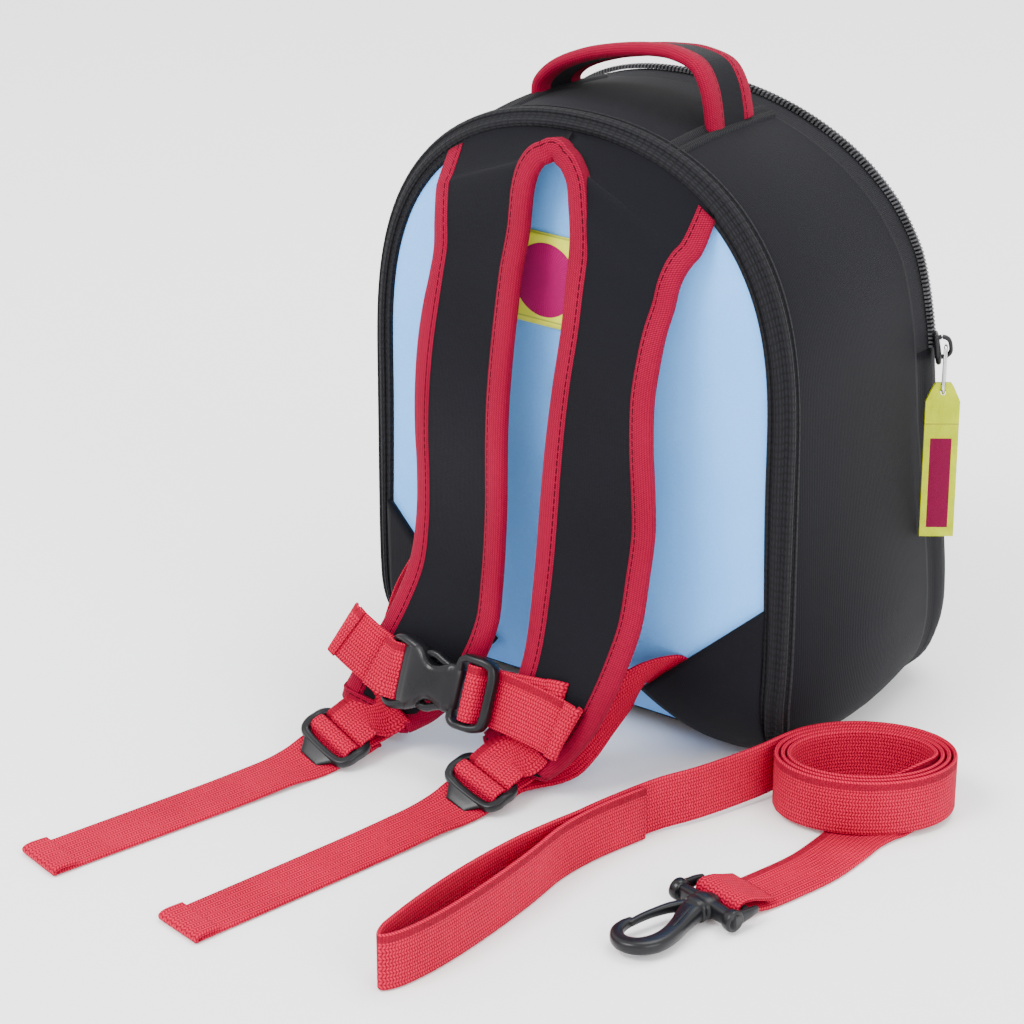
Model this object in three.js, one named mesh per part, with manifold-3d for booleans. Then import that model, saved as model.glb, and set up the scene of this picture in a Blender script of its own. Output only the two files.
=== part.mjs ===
import * as THREE from 'three';
import { mergeVertices } from 'three/addons/utils/BufferGeometryUtils.js';
import Module from 'manifold-3d';

const wasm = await Module();
wasm.setup();

// A toddler's harness backpack with its tether lying beside it. Millimetres, +Z up.
// The origin is on the floor under the bag, -Y is the wearer's side, +Y the zipped front.

// Bag body
const bagHalfWidth = 104.5;
const bagHeight = 280;
const backSet = 52;
const bagDepth = 113;
const sideBulge = 9;
const backBulge = 9;
const frontDome = 14;
const backFootRadius = 45;
const frontFootRadius = 15;
const archStart = 0.535;
const archPowerAcross = 2.2;
const archPowerUp = 2.8;
const footPower = 8;
const seamFootLift = 5;
const clothThickness = 3;
const seamGap = 0.3;
const outlineSteps = 44;

// Seams on the bag
const seamBandWidth = 8;
const seamBandRise = 1.6;
const seamBandLow = 0.8;
const crossSeamWidth = 8;
const crossSeamRise = 1.5;
const crossSeamAt = 48.5;
const patchThickness = 1.6;
const patchLift = 0.7;
const labelWidth = 42;
const labelHeight = 40;
const labelThickness = 0.8;
const labelDiscRadius = 16;

// Zip
const tapeWidth = 24;
const zipEndHeight = 165;
const chainWidth = 6.4;
const chainRise = 2.4;
const sliderLength = 13;
const sliderWidth = 9;
const sliderRise = 4;
const bailWire = 1.8;
const wireWidth = 6.8;
const wireThickness = 1.8;
const tagWidth = 15;
const tagLength = 70;
const tagThickness = 1.2;

// Handle
const handleHalfSpan = 47;
const handleRise = 23.5;
const handleRoll = 13;
const handleWidth = 26;
const handleSet = -4;
const handleThickness = 4;

// Padded shoulder straps
const strapReach = 72;
const padThickness = 5;
const bindingWidth = 7.5;
const bindingThickness = 1.1;
const bindingGap = 1.35;

// Webbing and plastic hardware
const webbingWidth = 25;
const webbingThickness = 1.6;
const layGap = 0.4;
const adjusterWidth = 32;
const adjusterThickness = 3.6;
const adjusterRail = 3.2;
const rearBar = 3.2;
const rearSlot = 5.6;
const middleBar = 3.6;
const frontSlot = 4;
const frontBar = 3.6;
const tabLength = 6;
const tabWidth = 15;
const tailLengthLeft = 130;
const tailLengthRight = 139;
const hemLength = 9;
const buckleThickness = 11;
const buckleWidth = 35;
const barDiameter = 3.4;
const chestAcross = -26;
const chestReach = 66;
const chestHeight = 41;

// Tether
const tetherThickness = 1.8;
const coilLong = 39.5;
const coilShort = 28;
const coilPitch = 2.7;
const coilTurns = 3.43;
const coilJoin = 145;
const coilHeading = 35.5;
const coilSide = 38.5;
const coilSet = -43;
const coilLift = 2.2;

// Snap hook
const hookLength = 43;
const hookThickness = 5;
const hookBarSpan = 35;
const lugDiameter = 9;
const swivelDiameter = 11;
const swivelLength = 7;
const neckDiameter = 5;
const swivelClearance = 0.35;

const cloth = (color) => new THREE.MeshStandardMaterial({ color, roughness: 0.9, metalness: 0 });
const plastic = (color) => new THREE.MeshStandardMaterial({ color, roughness: 0.4, metalness: 0 });
const steel = (color) => new THREE.MeshStandardMaterial({ color, roughness: 0.3, metalness: 1 });
const black = 0x26262c;
const blue = 0xa8c8e8;
const red = 0xe03048;
const darkRed = 0xc83048;
const hardBlack = 0x3a3a3e;
const yellowGreen = 0xd8e040;
const magenta = 0xb02868;

const group = new THREE.Group();
const v3 = (x, y, z) => new THREE.Vector3(x, y, z);

function addMesh(name, geometry, material) {
  const mesh = new THREE.Mesh(geometry, material);
  mesh.name = name;
  group.add(mesh);
  return mesh;
}

// A share read from a short table of rows [at, share], with straight lines between rows
function shareAt(rows, at) {
  let i = 1;
  while (i < rows.length - 1 && at > rows[i][0]) i += 1;
  const [a, b] = [rows[i - 1], rows[i]];
  const f = Math.min(1, Math.max(0, (at - a[0]) / (b[0] - a[0])));
  return a[1] + (b[1] - a[1]) * f;
}

// One closed geometry from points and triangles, with its faces turned outward
function closedGeometry(points, triangles) {
  let volume = 0;
  for (const [a, b, c] of triangles) {
    volume += points[a].dot(v3(0, 0, 0).crossVectors(points[b], points[c]));
  }
  const turned = volume < 0 ? triangles.map(([a, b, c]) => [a, c, b]) : triangles;
  const geometry = new THREE.BufferGeometry();
  const places = points.flatMap((p) => [p.x, p.y, p.z]);
  geometry.setAttribute('position', new THREE.Float32BufferAttribute(places, 3));
  geometry.setIndex(turned.flat());
  geometry.computeVertexNormals();
  return geometry;
}

// A body lofted through rings of equal point count; its ends are capped unless it closes on itself
function loft(rings, closed = false) {
  const count = rings[0].length;
  const points = rings.flat();
  const triangles = [];
  const last = closed ? rings.length : rings.length - 1;
  for (let i = 0; i < last; i += 1) {
    const j = (i + 1) % rings.length;
    for (let k = 0; k < count; k += 1) {
      const m = (k + 1) % count;
      triangles.push([i * count + k, i * count + m, j * count + m]);
      triangles.push([i * count + k, j * count + m, j * count + k]);
    }
  }
  if (!closed) {
    for (const [ring, flip] of [[0, true], [rings.length - 1, false]]) {
      const base = ring * count;
      for (const [a, b, c] of capTriangles(rings[ring])) {
        triangles.push(flip ? [base + a, base + c, base + b] : [base + a, base + b, base + c]);
      }
    }
  }
  return closedGeometry(points, triangles);
}

// Triangles of a flat ring, worked out in the ring's own plane
function capTriangles(ring) {
  const normal = v3(0, 0, 0);
  ring.forEach((p, k) => {
    const q = ring[(k + 1) % ring.length];
    normal.add(v3(0, 0, 0).crossVectors(p, q));
  });
  normal.normalize();
  const across = ring[1].clone().sub(ring[0]).normalize();
  const up = v3(0, 0, 0).crossVectors(normal, across);
  const flat = ring.map((p) => new THREE.Vector2(p.dot(across), p.dot(up)));
  return THREE.ShapeUtils.triangulateShape(flat, []);
}

// A smooth curve through stations { p, w }, sampled evenly; w is the width direction, squared to the curve or not
function smoothStations(stations, steps, square) {
  const places = new THREE.CatmullRomCurve3(stations.map((s) => s.p), false, 'centripetal');
  const widths = new THREE.CatmullRomCurve3(stations.map((s) => s.w), false, 'centripetal');
  return Array.from({ length: steps + 1 }, (_, i) => {
    const t = i / steps;
    const along = places.getTangent(t).normalize();
    const w = widths.getPoint(t);
    if (square) w.addScaledVector(along, -w.dot(along));
    w.normalize();
    return { p: places.getPoint(t), w, n: v3(0, 0, 0).crossVectors(along, w).normalize() };
  });
}

// A strip of webbing of rectangular section along smoothed stations
function ribbon(stations, width, thickness, steps, square = true) {
  const rings = smoothStations(stations, steps, square).map(({ p, w, n }) =>
    [[-1, -1], [1, -1], [1, 1], [-1, 1]].map(([a, b]) =>
      p.clone().addScaledVector(w, (a * width) / 2).addScaledVector(n, (b * thickness) / 2)));
  return loft(rings);
}

// A shell between matching outer and inner points, walled along its free edges
function shell(outer, inner, faces, gap = 0) {
  const count = outer.length;
  const edges = new Map();
  for (const face of faces) {
    face.forEach((a, k) => {
      const b = face[(k + 1) % face.length];
      if (edges.has(`${b},${a}`)) edges.delete(`${b},${a}`);
      else edges.set(`${a},${b}`, [a, b, face]);
    });
  }
  const shift = new Map();
  for (const [a, b, face] of edges.values()) {
    const centre = face.reduce((s, i) => s.add(outer[i]), v3(0, 0, 0)).divideScalar(face.length);
    const edge = outer[b].clone().sub(outer[a]).normalize();
    const inward = centre.clone().sub(outer[a]);
    inward.addScaledVector(edge, -inward.dot(edge)).normalize();
    for (const i of [a, b]) shift.set(i, (shift.get(i) || v3(0, 0, 0)).add(inward));
  }
  const moved = (list) => list.map((p, i) =>
    (shift.has(i) ? p.clone().addScaledVector(shift.get(i).clone().normalize(), gap) : p.clone()));
  const used = new Map();
  const points = [];
  const both = [...moved(outer), ...moved(inner)];
  const keep = (i) => {
    if (!used.has(i)) {
      used.set(i, points.length);
      points.push(both[i]);
    }
    return used.get(i);
  };
  const triangles = [];
  for (const face of faces) {
    for (let k = 1; k < face.length - 1; k += 1) {
      const [a, b, c] = [face[0], face[k], face[k + 1]];
      triangles.push([keep(a), keep(b), keep(c)]);
      triangles.push([keep(count + a), keep(count + c), keep(count + b)]);
    }
  }
  for (const [a, b] of edges.values()) {
    triangles.push([keep(b), keep(a), keep(count + a)]);
    triangles.push([keep(b), keep(count + a), keep(count + b)]);
  }
  return closedGeometry(points, triangles);
}

// The bag's arch outline
const archCentre = bagHeight * archStart;

function archX(z) {
  const upper = z > archCentre;
  const reach = upper ? (z - archCentre) / (bagHeight - archCentre) : (archCentre - z) / archCentre;
  const up = upper ? archPowerUp : footPower;
  const across = upper ? archPowerAcross : footPower;
  return bagHalfWidth * (1 - Math.min(1, reach) ** up) ** (1 / across);
}

function archZ(x) {
  const share = Math.min(1, Math.abs(x) / bagHalfWidth);
  return archCentre + (bagHeight - archCentre) * (1 - share ** archPowerAcross) ** (1 / archPowerUp);
}

// Even steps round the outline, from the middle of the foot up the +X side and down the other
function archOutline() {
  const dense = [];
  const quarter = 240;
  for (let i = 0; i < quarter; i += 1) {
    const angle = (i / quarter) * (Math.PI / 2);
    const s = Math.sin(angle) ** (2 / footPower);
    const c = Math.cos(angle) ** (2 / footPower);
    dense.push([bagHalfWidth * s, archCentre - archCentre * c]);
  }
  for (let i = 0; i <= quarter; i += 1) {
    const angle = (i / quarter) * (Math.PI / 2);
    const c = Math.cos(angle) ** (2 / archPowerAcross);
    const s = Math.sin(angle) ** (2 / archPowerUp);
    dense.push([bagHalfWidth * c, archCentre + (bagHeight - archCentre) * s]);
  }
  const lengths = [0];
  for (let i = 1; i < dense.length; i += 1) {
    lengths.push(lengths[i - 1] + Math.hypot(dense[i][0] - dense[i - 1][0], dense[i][1] - dense[i - 1][1]));
  }
  const half = [];
  const steps = outlineSteps / 2;
  let k = 1;
  for (let i = 0; i <= steps; i += 1) {
    const target = (lengths[lengths.length - 1] * i) / steps;
    while (k < lengths.length - 1 && lengths[k] < target) k += 1;
    const f = (target - lengths[k - 1]) / (lengths[k] - lengths[k - 1] || 1);
    half.push([0, 1].map((c) => dense[k - 1][c] + (dense[k][c] - dense[k - 1][c]) * f));
  }
  const nearest = half.reduce((best, [x, z], i) =>
    (z > archCentre && Math.abs(x - crossSeamAt) < Math.abs(half[best][0] - crossSeamAt) ? i : best), steps - 1);
  half[nearest] = [crossSeamAt, archZ(crossSeamAt)];
  const mirrored = half.slice(1, -1).reverse().map(([x, z]) => [-x, z]);
  return [...half, ...mirrored];
}

const outline = archOutline();
const topStep = outlineSteps / 2;

// Rows [height share, share]: depth to the front seam, front flare and side bulge
const depthRows = [
  [0, 1.04], [0.1, 1.06], [0.2, 1.05], [0.35, 1.02], [0.5, 0.985], [0.64, 0.965], [0.75, 0.93], [0.83, 0.87],
  [0.9, 0.8], [0.96, 0.73], [1, 0.68],
];
const flareRows = [[0, 1.09], [0.14, 1.085], [0.25, 1.065], [0.45, 1.02], [0.65, 0.99], [1, 0.985]];
const bulgeRows = [[0, 0], [0.02, 0.5], [0.08, 1], [0.2, 1.1], [0.35, 0.8], [0.6, 0.35], [1, 0.25]];

const footWrap = (z, radius) => (z < radius ? radius - Math.sqrt(radius ** 2 - (radius - z) ** 2) : 0);

// Height field of the back face, at a share q of the way from the seam to the centre
function backPoint(x, z, q) {
  return v3(x, -backSet + footWrap(z, backFootRadius) - backBulge * (1 - (1 - q) ** 2), z);
}

function seamShare(x, z) {
  const [dx, dz] = [x, z - archCentre];
  let [low, high] = [0, 1];
  for (let i = 0; i < 24; i += 1) {
    const mid = (low + high) / 2;
    const [px, pz] = [dx / (1 - mid), archCentre + dz / (1 - mid)];
    const inside = pz > 0 && pz < bagHeight && Math.abs(px) < archX(pz);
    if (inside) low = mid;
    else high = mid;
  }
  return low;
}

const backFace = (x, z) => backPoint(x, z, seamShare(x, z));

// Rings of the whole body, from the back's centre over the seams to the front's centre
const backShares = [0.66, 0.4, 0.2, 0.085, 0.035, 0];
const gussetShares = [0.12, 0.3, 0.65, 1];
// Rows [share of tape width beyond the front seam, rise as a share of the front dome, inset share]
const frontRows = [[0.5, 0, -0.004], [0.9, 0, 0.035], [1, 0.4, 0.1], [1, 0.78, 0.23], [1, 0.97, 0.55]];

function backRing(q) {
  return outline.map(([x, z0]) => {
    const z = Math.max(z0, seamFootLift);
    return backPoint(x * (1 - q), archCentre + (z - archCentre) * (1 - q), q);
  });
}

function frontPlace(x, z, along, inset) {
  const high = z / bagHeight;
  const flare = shareAt(flareRows, high);
  const fx = x * flare * (1 - inset);
  const top = z > archCentre ? 0.985 : 1;
  const fz = archCentre + (z - archCentre) * top * (1 - inset);
  const y = -backSet + bagDepth * shareAt(depthRows, high) + along - footWrap(Math.max(0, fz), frontFootRadius);
  return v3(fx, y, Math.max(0, fz));
}

function gussetRing(s) {
  const back = backRing(0);
  return outline.map(([x, z], i) => {
    const front = frontPlace(x, z, 0, 0);
    const point = back[i].clone().lerp(front, s);
    const before = outline[(i + outlineSteps - 1) % outlineSteps];
    const after = outline[(i + 1) % outlineSteps];
    const out = v3(after[1] - before[1], 0, before[0] - after[0]).normalize();
    const swell = sideBulge * shareAt(bulgeRows, z / bagHeight) * Math.sin(Math.PI * s ** 0.85);
    point.addScaledVector(out, swell);
    point.z = z < 1 ? seamFootLift * Math.max(0, 1 - s / gussetShares[1]) : Math.max(0, point.z);
    return point;
  });
}

const frontRing = ([tapeShare, dome, inset]) =>
  outline.map(([x, z]) => frontPlace(x, z, tapeWidth * tapeShare + frontDome * dome, inset));

const rings = [...backShares.map(backRing), ...gussetShares.map(gussetRing), ...frontRows.map(frontRing)];
const seamRing = backShares.length - 1;
const frontSeamRing = seamRing + gussetShares.length;
const bodyPoints = rings.flat();
const backCentre = bodyPoints.push(backPoint(0, archCentre, 1)) - 1;
const frontCentre = bodyPoints.push(frontPlace(0, archCentre, tapeWidth + frontDome, 0)) - 1;
const at = (ring, step) => ring * outlineSteps + ((step + outlineSteps) % outlineSteps);

const ringFace = (ring, step) => [at(ring, step), at(ring, step + 1), at(ring + 1, step + 1), at(ring + 1, step)];
const steps = [...outline.keys()];
const backFan = steps.map((k) => [backCentre, at(0, k + 1), at(0, k)]);
const frontFan = steps.map((k) => [frontCentre, at(rings.length - 1, k), at(rings.length - 1, k + 1)]);

// Inner points of the body, offset so that each wall keeps its thickness round the corners
function innerPoints(points, faces, thickness) {
  const normals = points.map(() => []);
  for (const face of faces) {
    const [a, b, c] = [points[face[0]], points[face[1]], points[face[face.length - 1]]];
    const d = points[face[face.length > 3 ? 2 : 1]];
    const n = v3(0, 0, 0).crossVectors(d.clone().sub(a), c.clone().sub(b)).normalize();
    if (n.lengthSq() > 0.5) face.forEach((i) => normals[i].push(n));
  }
  return points.map((p, i) => {
    const mean = normals[i].reduce((s, n) => s.add(n), v3(0, 0, 0)).normalize();
    const spread = Math.min(...normals[i].map((n) => n.dot(mean)), 1);
    return p.clone().addScaledVector(mean, thickness / Math.max(spread, 0.68));
  });
}

const bodyFaces = [...backFan, ...frontFan];
for (let r = 0; r < rings.length - 1; r += 1) steps.forEach((k) => bodyFaces.push(ringFace(r, k)));
const bodyCentre = v3(0, 0, archCentre);
const probe = innerPoints(bodyPoints, bodyFaces, 1);
const inwardSign = probe[at(seamRing + 3, 14)].distanceTo(bodyCentre)
  < bodyPoints[at(seamRing + 3, 14)].distanceTo(bodyCentre) ? 1 : -1;
const bodyInner = innerPoints(bodyPoints, bodyFaces, inwardSign * clothThickness);
const skinLift = (lift) => innerPoints(bodyPoints, bodyFaces, -inwardSign * lift);

const ringFaces = (from, to, keep = () => true) => {
  const faces = [];
  for (let r = from; r < to; r += 1) {
    for (const k of steps) if (keep(k)) faces.push(ringFace(r, k));
  }
  return faces;
};

// The step of the outline nearest to a height on the +X side, and to a place across the top
const stepAtHeight = (z) => steps.slice(4, topStep).reduce((best, k) =>
  (Math.abs(outline[k][1] - z) < Math.abs(outline[best][1] - z) ? k : best), 4);
const crossStep = steps.slice(0, topStep).reduce((best, k) =>
  (outline[k][1] > archCentre && Math.abs(outline[k][0] - crossSeamAt) < Math.abs(outline[best][0] - crossSeamAt)
    ? k : best), topStep - 1);
const zipStep = stepAtHeight(zipEndHeight);
const overTop = (first) => (k) => k >= first && k < outlineSteps - first;
const onTop = overTop(crossStep);
const onZip = overTop(zipStep);
const tapeEndRing = frontSeamRing + 2;

const wallGap = seamGap * 0.75;
const wall = (faces) => shell(bodyPoints, bodyInner, faces, wallGap);
addMesh('back_panel', wall([...backFan, ...ringFaces(0, seamRing)]), cloth(blue));
addMesh('gusset_top', wall(ringFaces(seamRing, frontSeamRing, onTop)), cloth(black));
addMesh('gusset_side', wall(ringFaces(seamRing, frontSeamRing, (k) => !onTop(k))), cloth(black));
addMesh('zip_tape', wall(ringFaces(frontSeamRing, tapeEndRing, onZip)), cloth(black));
addMesh('front_panel', wall([
  ...frontFan,
  ...ringFaces(frontSeamRing, tapeEndRing, (k) => !onZip(k)),
  ...ringFaces(tapeEndRing, rings.length - 1),
]), cloth(black));

// The point a distance along the rings from the back seam, read from a lifted copy of the skin
function fromSeam(list, k, direction, distance) {
  let ring = seamRing;
  let left = distance;
  let step = bodyPoints[at(ring, k)].distanceTo(bodyPoints[at(ring + direction, k)]);
  while (left > step) {
    left -= step;
    ring += direction;
    step = bodyPoints[at(ring, k)].distanceTo(bodyPoints[at(ring + direction, k)]);
  }
  return list[at(ring, k)].clone().lerp(list[at(ring + direction, k)], left / step);
}

// Raised band over the back seam, on both sides of the ridge
function seamBand() {
  const low = skinLift(seamBandLow);
  const high = skinLift(seamBandLow + seamBandRise);
  const places = [[-1, 1], [-1, 0.5], [1, 0], [1, 1]];
  return loft(steps.map((k) => [
    ...places.map(([side, share]) => fromSeam(low, k, side, share * seamBandWidth)),
    ...places.toReversed().map(([side, share]) => fromSeam(high, k, side, share * seamBandWidth)),
  ]), true);
}
addMesh('back_seam', seamBand(), cloth(black));

// A patch of cloth laid over the back face: its places in rows and columns, by (across, height)
function backCover(rowsCount, columns, place, lift, thickness) {
  const grid = [];
  for (let i = 0; i <= rowsCount; i += 1) {
    for (let j = 0; j <= columns; j += 1) grid.push(place(i / rowsCount, j / columns));
  }
  const faces = [];
  for (let i = 0; i < rowsCount; i += 1) {
    for (let j = 0; j < columns; j += 1) {
      const a = i * (columns + 1) + j;
      faces.push([a, a + 1, a + columns + 2, a + columns + 1]);
    }
  }
  const nudge = 0.5;
  const outwards = grid.map(([x, z]) => {
    const here = backFace(x, z);
    const side = backFace(x + nudge, z).sub(here);
    const up = backFace(x, z + nudge).sub(here);
    return v3(0, 0, 0).crossVectors(side, up).normalize();
  });
  const raised = (rise) => grid.map(([x, z], i) => backFace(x, z).addScaledVector(outwards[i], rise));
  return shell(raised(lift + thickness), raised(lift), faces);
}

// Black corner patches, whose inner edges hold the lower webbing
const patchTop = [0.925, 0.305];
const patchTip = [0.375, 0.115];
const patchFoot = [0.66, 0.044];
const patchHeel = [0.85, 0.085];
for (const [name, side] of [['corner_patch_left', -1], ['corner_patch_right', 1]]) {
  const place = (u, t) => {
    const along = (a, b, f) => [a[0] + (b[0] - a[0]) * f, a[1] + (b[1] - a[1]) * f];
    const inner = along(patchTop, patchTip, u);
    const outer = along(patchHeel, patchFoot, u);
    const [x, z] = along(inner, outer, t);
    return [side * x * bagHalfWidth, z * bagHeight];
  };
  addMesh(name, backCover(8, 6, place, patchLift, patchThickness), cloth(black));
}

// Woven label with a plain disc
const labelPlace = [-0.095, 0.752];
const labelAt = (u, t) => [
  labelPlace[0] * bagHalfWidth + (u - 0.5) * labelWidth,
  labelPlace[1] * bagHeight + (t - 0.5) * labelHeight,
];
addMesh('label', backCover(3, 3, labelAt, patchLift, labelThickness), cloth(yellowGreen));
const discAt = (u, t) => {
  const angle = u * Math.PI * 2;
  const r = labelDiscRadius * t;
  const [x, z] = labelAt(0.5, 0.5);
  return [x + r * Math.cos(angle), z + r * Math.sin(angle)];
};
const discLift = patchLift + labelThickness + layGap;
addMesh('label_disc', discPlate(), cloth(magenta));

function discPlate() {
  const sides = 20;
  const ring = (lift) => Array.from({ length: sides }, (_, k) => {
    const [x, z] = discAt(k / sides, 1);
    const p = backFace(x, z);
    p.y -= lift;
    return p;
  });
  return loft([ring(discLift), ring(discLift + labelThickness / 2)]);
}

// Cross seams at the handle's feet, where the top of the gusset meets its sides
for (const [name, side] of [['cross_seam_left', -1], ['cross_seam_right', 1]]) {
  const k0 = side > 0 ? crossStep : outlineSteps - crossStep;
  const low = skinLift(seamBandLow);
  const high = skinLift(seamBandLow + crossSeamRise);
  const rows = [];
  for (let r = seamRing + 1; r <= frontSeamRing; r += 1) {
    const spread = bodyPoints[at(r, k0)].distanceTo(bodyPoints[at(r, k0 - side)]);
    const f = crossSeamWidth / spread;
    const pick = (list, share) => list[at(r, k0)].clone().lerp(list[at(r, k0 - side)], share);
    rows.push([pick(low, 0.15), pick(low, f), pick(high, f), pick(high, 0.15)]);
  }
  addMesh(name, loft(rows), cloth(black));
}

// Zip chain: a low ridge along the middle of the tape
const chainRing = frontSeamRing + 1;
function chainGeometry() {
  const low = skinLift(layGap);
  const high = skinLift(layGap + chainRise);
  const rows = [];
  for (let k = zipStep; k <= outlineSteps - zipStep; k += 1) {
    const [back, mid, front] = [at(chainRing - 1, k), at(chainRing, k), at(chainRing + 1, k)];
    const backShare = chainWidth / 2 / bodyPoints[mid].distanceTo(bodyPoints[back]);
    const frontShare = chainWidth / 2 / bodyPoints[mid].distanceTo(bodyPoints[front]);
    rows.push([
      low[mid].clone().lerp(low[back], backShare), low[mid].clone(), low[mid].clone().lerp(low[front], frontShare),
      high[mid].clone().lerp(high[front], frontShare * 0.7), high[mid].clone().lerp(high[back], backShare * 0.7),
    ]);
  }
  return loft(rows);
}
addMesh('zip_chain', chainGeometry(), plastic(hardBlack));

// Handle: a padded strip bound along both edges, arched over the top of the gusset
const handleSteps = 15;
// Rows [share of the half span, share of the rise] along the handle
const handleRows = [
  [-1, 0], [-0.8, 0.34], [-0.45, 0.68], [-0.1, 0.87], [0.25, 0.985], [0.5, 1], [0.75, 0.86], [0.93, 0.5], [1, 0],
];
const handleFoot = archZ(handleHalfSpan) + 6;
const handlePlaces = handleRows.map(([across, rise]) =>
  v3(across * handleHalfSpan, handleSet, handleFoot + rise * handleRise));
const handleLine = new THREE.CatmullRomCurve3(handlePlaces, false, 'centripetal').getPoints(handleSteps);
const handleFrames = handleLine.map((p, i) => {
  const before = handleLine[Math.max(0, i - 1)];
  const after = handleLine[Math.min(handleSteps, i + 1)];
  const along = after.clone().sub(before).normalize();
  const roll = (handleRoll * Math.PI / 180) * Math.sin((Math.PI * i) / handleSteps);
  const w = v3(0, Math.cos(roll), -Math.sin(roll));
  return { p, w, n: v3(0, 0, 0).crossVectors(along, w).normalize() };
});
const bar = (frames, width, thickness) => loft(frames.map(({ p, w, n }) =>
  [[-1, -1], [1, -1], [1, 1], [-1, 1]].map(([a, b]) =>
    p.clone().addScaledVector(w, (a * width) / 2).addScaledVector(n, (b * thickness) / 2))));
addMesh('handle', bar(handleFrames, handleWidth, handleThickness), cloth(black));

// Folded binding tape round an edge: frames { p, a, n } give the edge, the way out and the face
function binding(frames, thickness, width) {
  const inside = thickness / 2 + bindingGap;
  const outside = inside + bindingThickness;
  const section = [
    [-width, outside], [bindingGap + bindingThickness, outside], [bindingGap + bindingThickness, -outside],
    [-width, -outside], [-width, -inside], [bindingGap, -inside], [bindingGap, inside], [-width, inside],
  ];
  return loft(frames.map(({ p, a, n }) =>
    section.map(([u, h]) => p.clone().addScaledVector(a, u).addScaledVector(n, h))));
}
for (const [name, side] of [['handle_binding_near', -1], ['handle_binding_far', 1]]) {
  const frames = handleFrames.map(({ p, w, n }) => ({
    p: p.clone().addScaledVector(w, (side * handleWidth) / 2), a: w.clone().multiplyScalar(side), n,
  }));
  addMesh(name, binding(frames, handleThickness, bindingWidth), cloth(red));
}

// Shoulder straps. Rows [inner across, inner out, inner up, outer across, outer out, outer up]:
// across in half widths of the bag, out in reaches ahead of the back seam, up in bag heights.
const yokeRows = [
  [0, 0.1, 0.966, 0.6, 0.1, 0.9],
  [0, 0.235, 0.957, 0.598, 0.15, 0.878],
  [0.05, 0.26, 0.948, 0.592, 0.18, 0.862],
  [0.086, 0.27, 0.928, 0.58, 0.215, 0.844],
  [0.104, 0.285, 0.895, 0.568, 0.25, 0.814],
  [0.116, 0.295, 0.84, 0.56, 0.275, 0.775],
  [0.124, 0.345, 0.785, 0.555, 0.335, 0.735],
  [0.127, 0.396, 0.714, 0.555, 0.39, 0.7],
  [0.122, 0.455, 0.643, 0.555, 0.45, 0.643],
  [0.116, 0.505, 0.571, 0.562, 0.47, 0.571],
  [0.108, 0.535, 0.5, 0.57, 0.46, 0.5],
  [0.1, 0.555, 0.429, 0.57, 0.445, 0.429],
  [0.096, 0.58, 0.357, 0.56, 0.475, 0.357],
];
const lowerRightRows = [
  [0.091, 0.61, 0.286, 0.56, 0.55, 0.286],
  [0.091, 0.65, 0.232, 0.545, 0.635, 0.236],
  [0.076, 0.69, 0.179, 0.51, 0.72, 0.179],
  [0.038, 0.76, 0.125, 0.44, 0.775, 0.114],
  [-0.01, 0.83, 0.082, 0.335, 0.82, 0.056],
  [-0.03, 0.87, 0.071, 0.275, 0.865, 0.033],
];
const lowerLeftRows = [
  [0.096, 0.61, 0.286, 0.555, 0.555, 0.286],
  [0.086, 0.67, 0.236, 0.574, 0.69, 0.225],
  [0.134, 0.705, 0.175, 0.617, 0.83, 0.168],
  [0.239, 0.743, 0.105, 0.67, 0.915, 0.121],
  [0.354, 0.79, 0.055, 0.708, 0.955, 0.086],
  [0.43, 0.88, 0.036, 0.727, 0.935, 0.073],
];
const strapColumns = 4;
const padSink = 2;
const yokeDrop = 1.6;
const strapPlace = (side, across, out, up) =>
  v3(side * across * bagHalfWidth, -backSet - out * strapReach + padSink, up * bagHeight);

function strapGrid(side, rows) {
  return rows.map(([ia, io, iu, oa, oo, ou], r) => {
    const inner = strapPlace(side, ia, io, iu);
    const outer = strapPlace(side, oa, oo, ou);
    return Array.from({ length: strapColumns + 1 }, (_, c) => {
      const p = inner.clone().lerp(outer, c / strapColumns);
      if (r === 0) p.z = archZ(Math.abs(p.x)) - seamBandWidth - yokeDrop;
      return p;
    });
  });
}
const rightGrid = strapGrid(1, [...yokeRows, ...lowerRightRows]);
const leftGrid = strapGrid(-1, [...yokeRows, ...lowerLeftRows]);

// One padded piece: both straps joined across the yoke
function padSurface() {
  const points = [];
  const faces = [];
  const keyed = new Map();
  const index = (p) => {
    const key = [p.x, p.y, p.z].map((q) => Math.round(q * 100)).join(',');
    if (!keyed.has(key)) {
      keyed.set(key, points.length);
      points.push(p);
    }
    return keyed.get(key);
  };
  for (const [grid, side] of [[rightGrid, 1], [leftGrid, -1]]) {
    for (let r = 0; r < grid.length - 1; r += 1) {
      for (let c = 0; c < strapColumns; c += 1) {
        const quad = [grid[r][c], grid[r][c + 1], grid[r + 1][c + 1], grid[r + 1][c]].map(index);
        const distinct = quad.filter((v, k) => quad.indexOf(v) === k);
        faces.push(side > 0 ? distinct : distinct.toReversed());
      }
    }
  }
  return { points, faces, index };
}
const pad = padSurface();
const padFront = innerPoints(pad.points, pad.faces, padThickness / 2);
const padBack = innerPoints(pad.points, pad.faces, -padThickness / 2);

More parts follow.
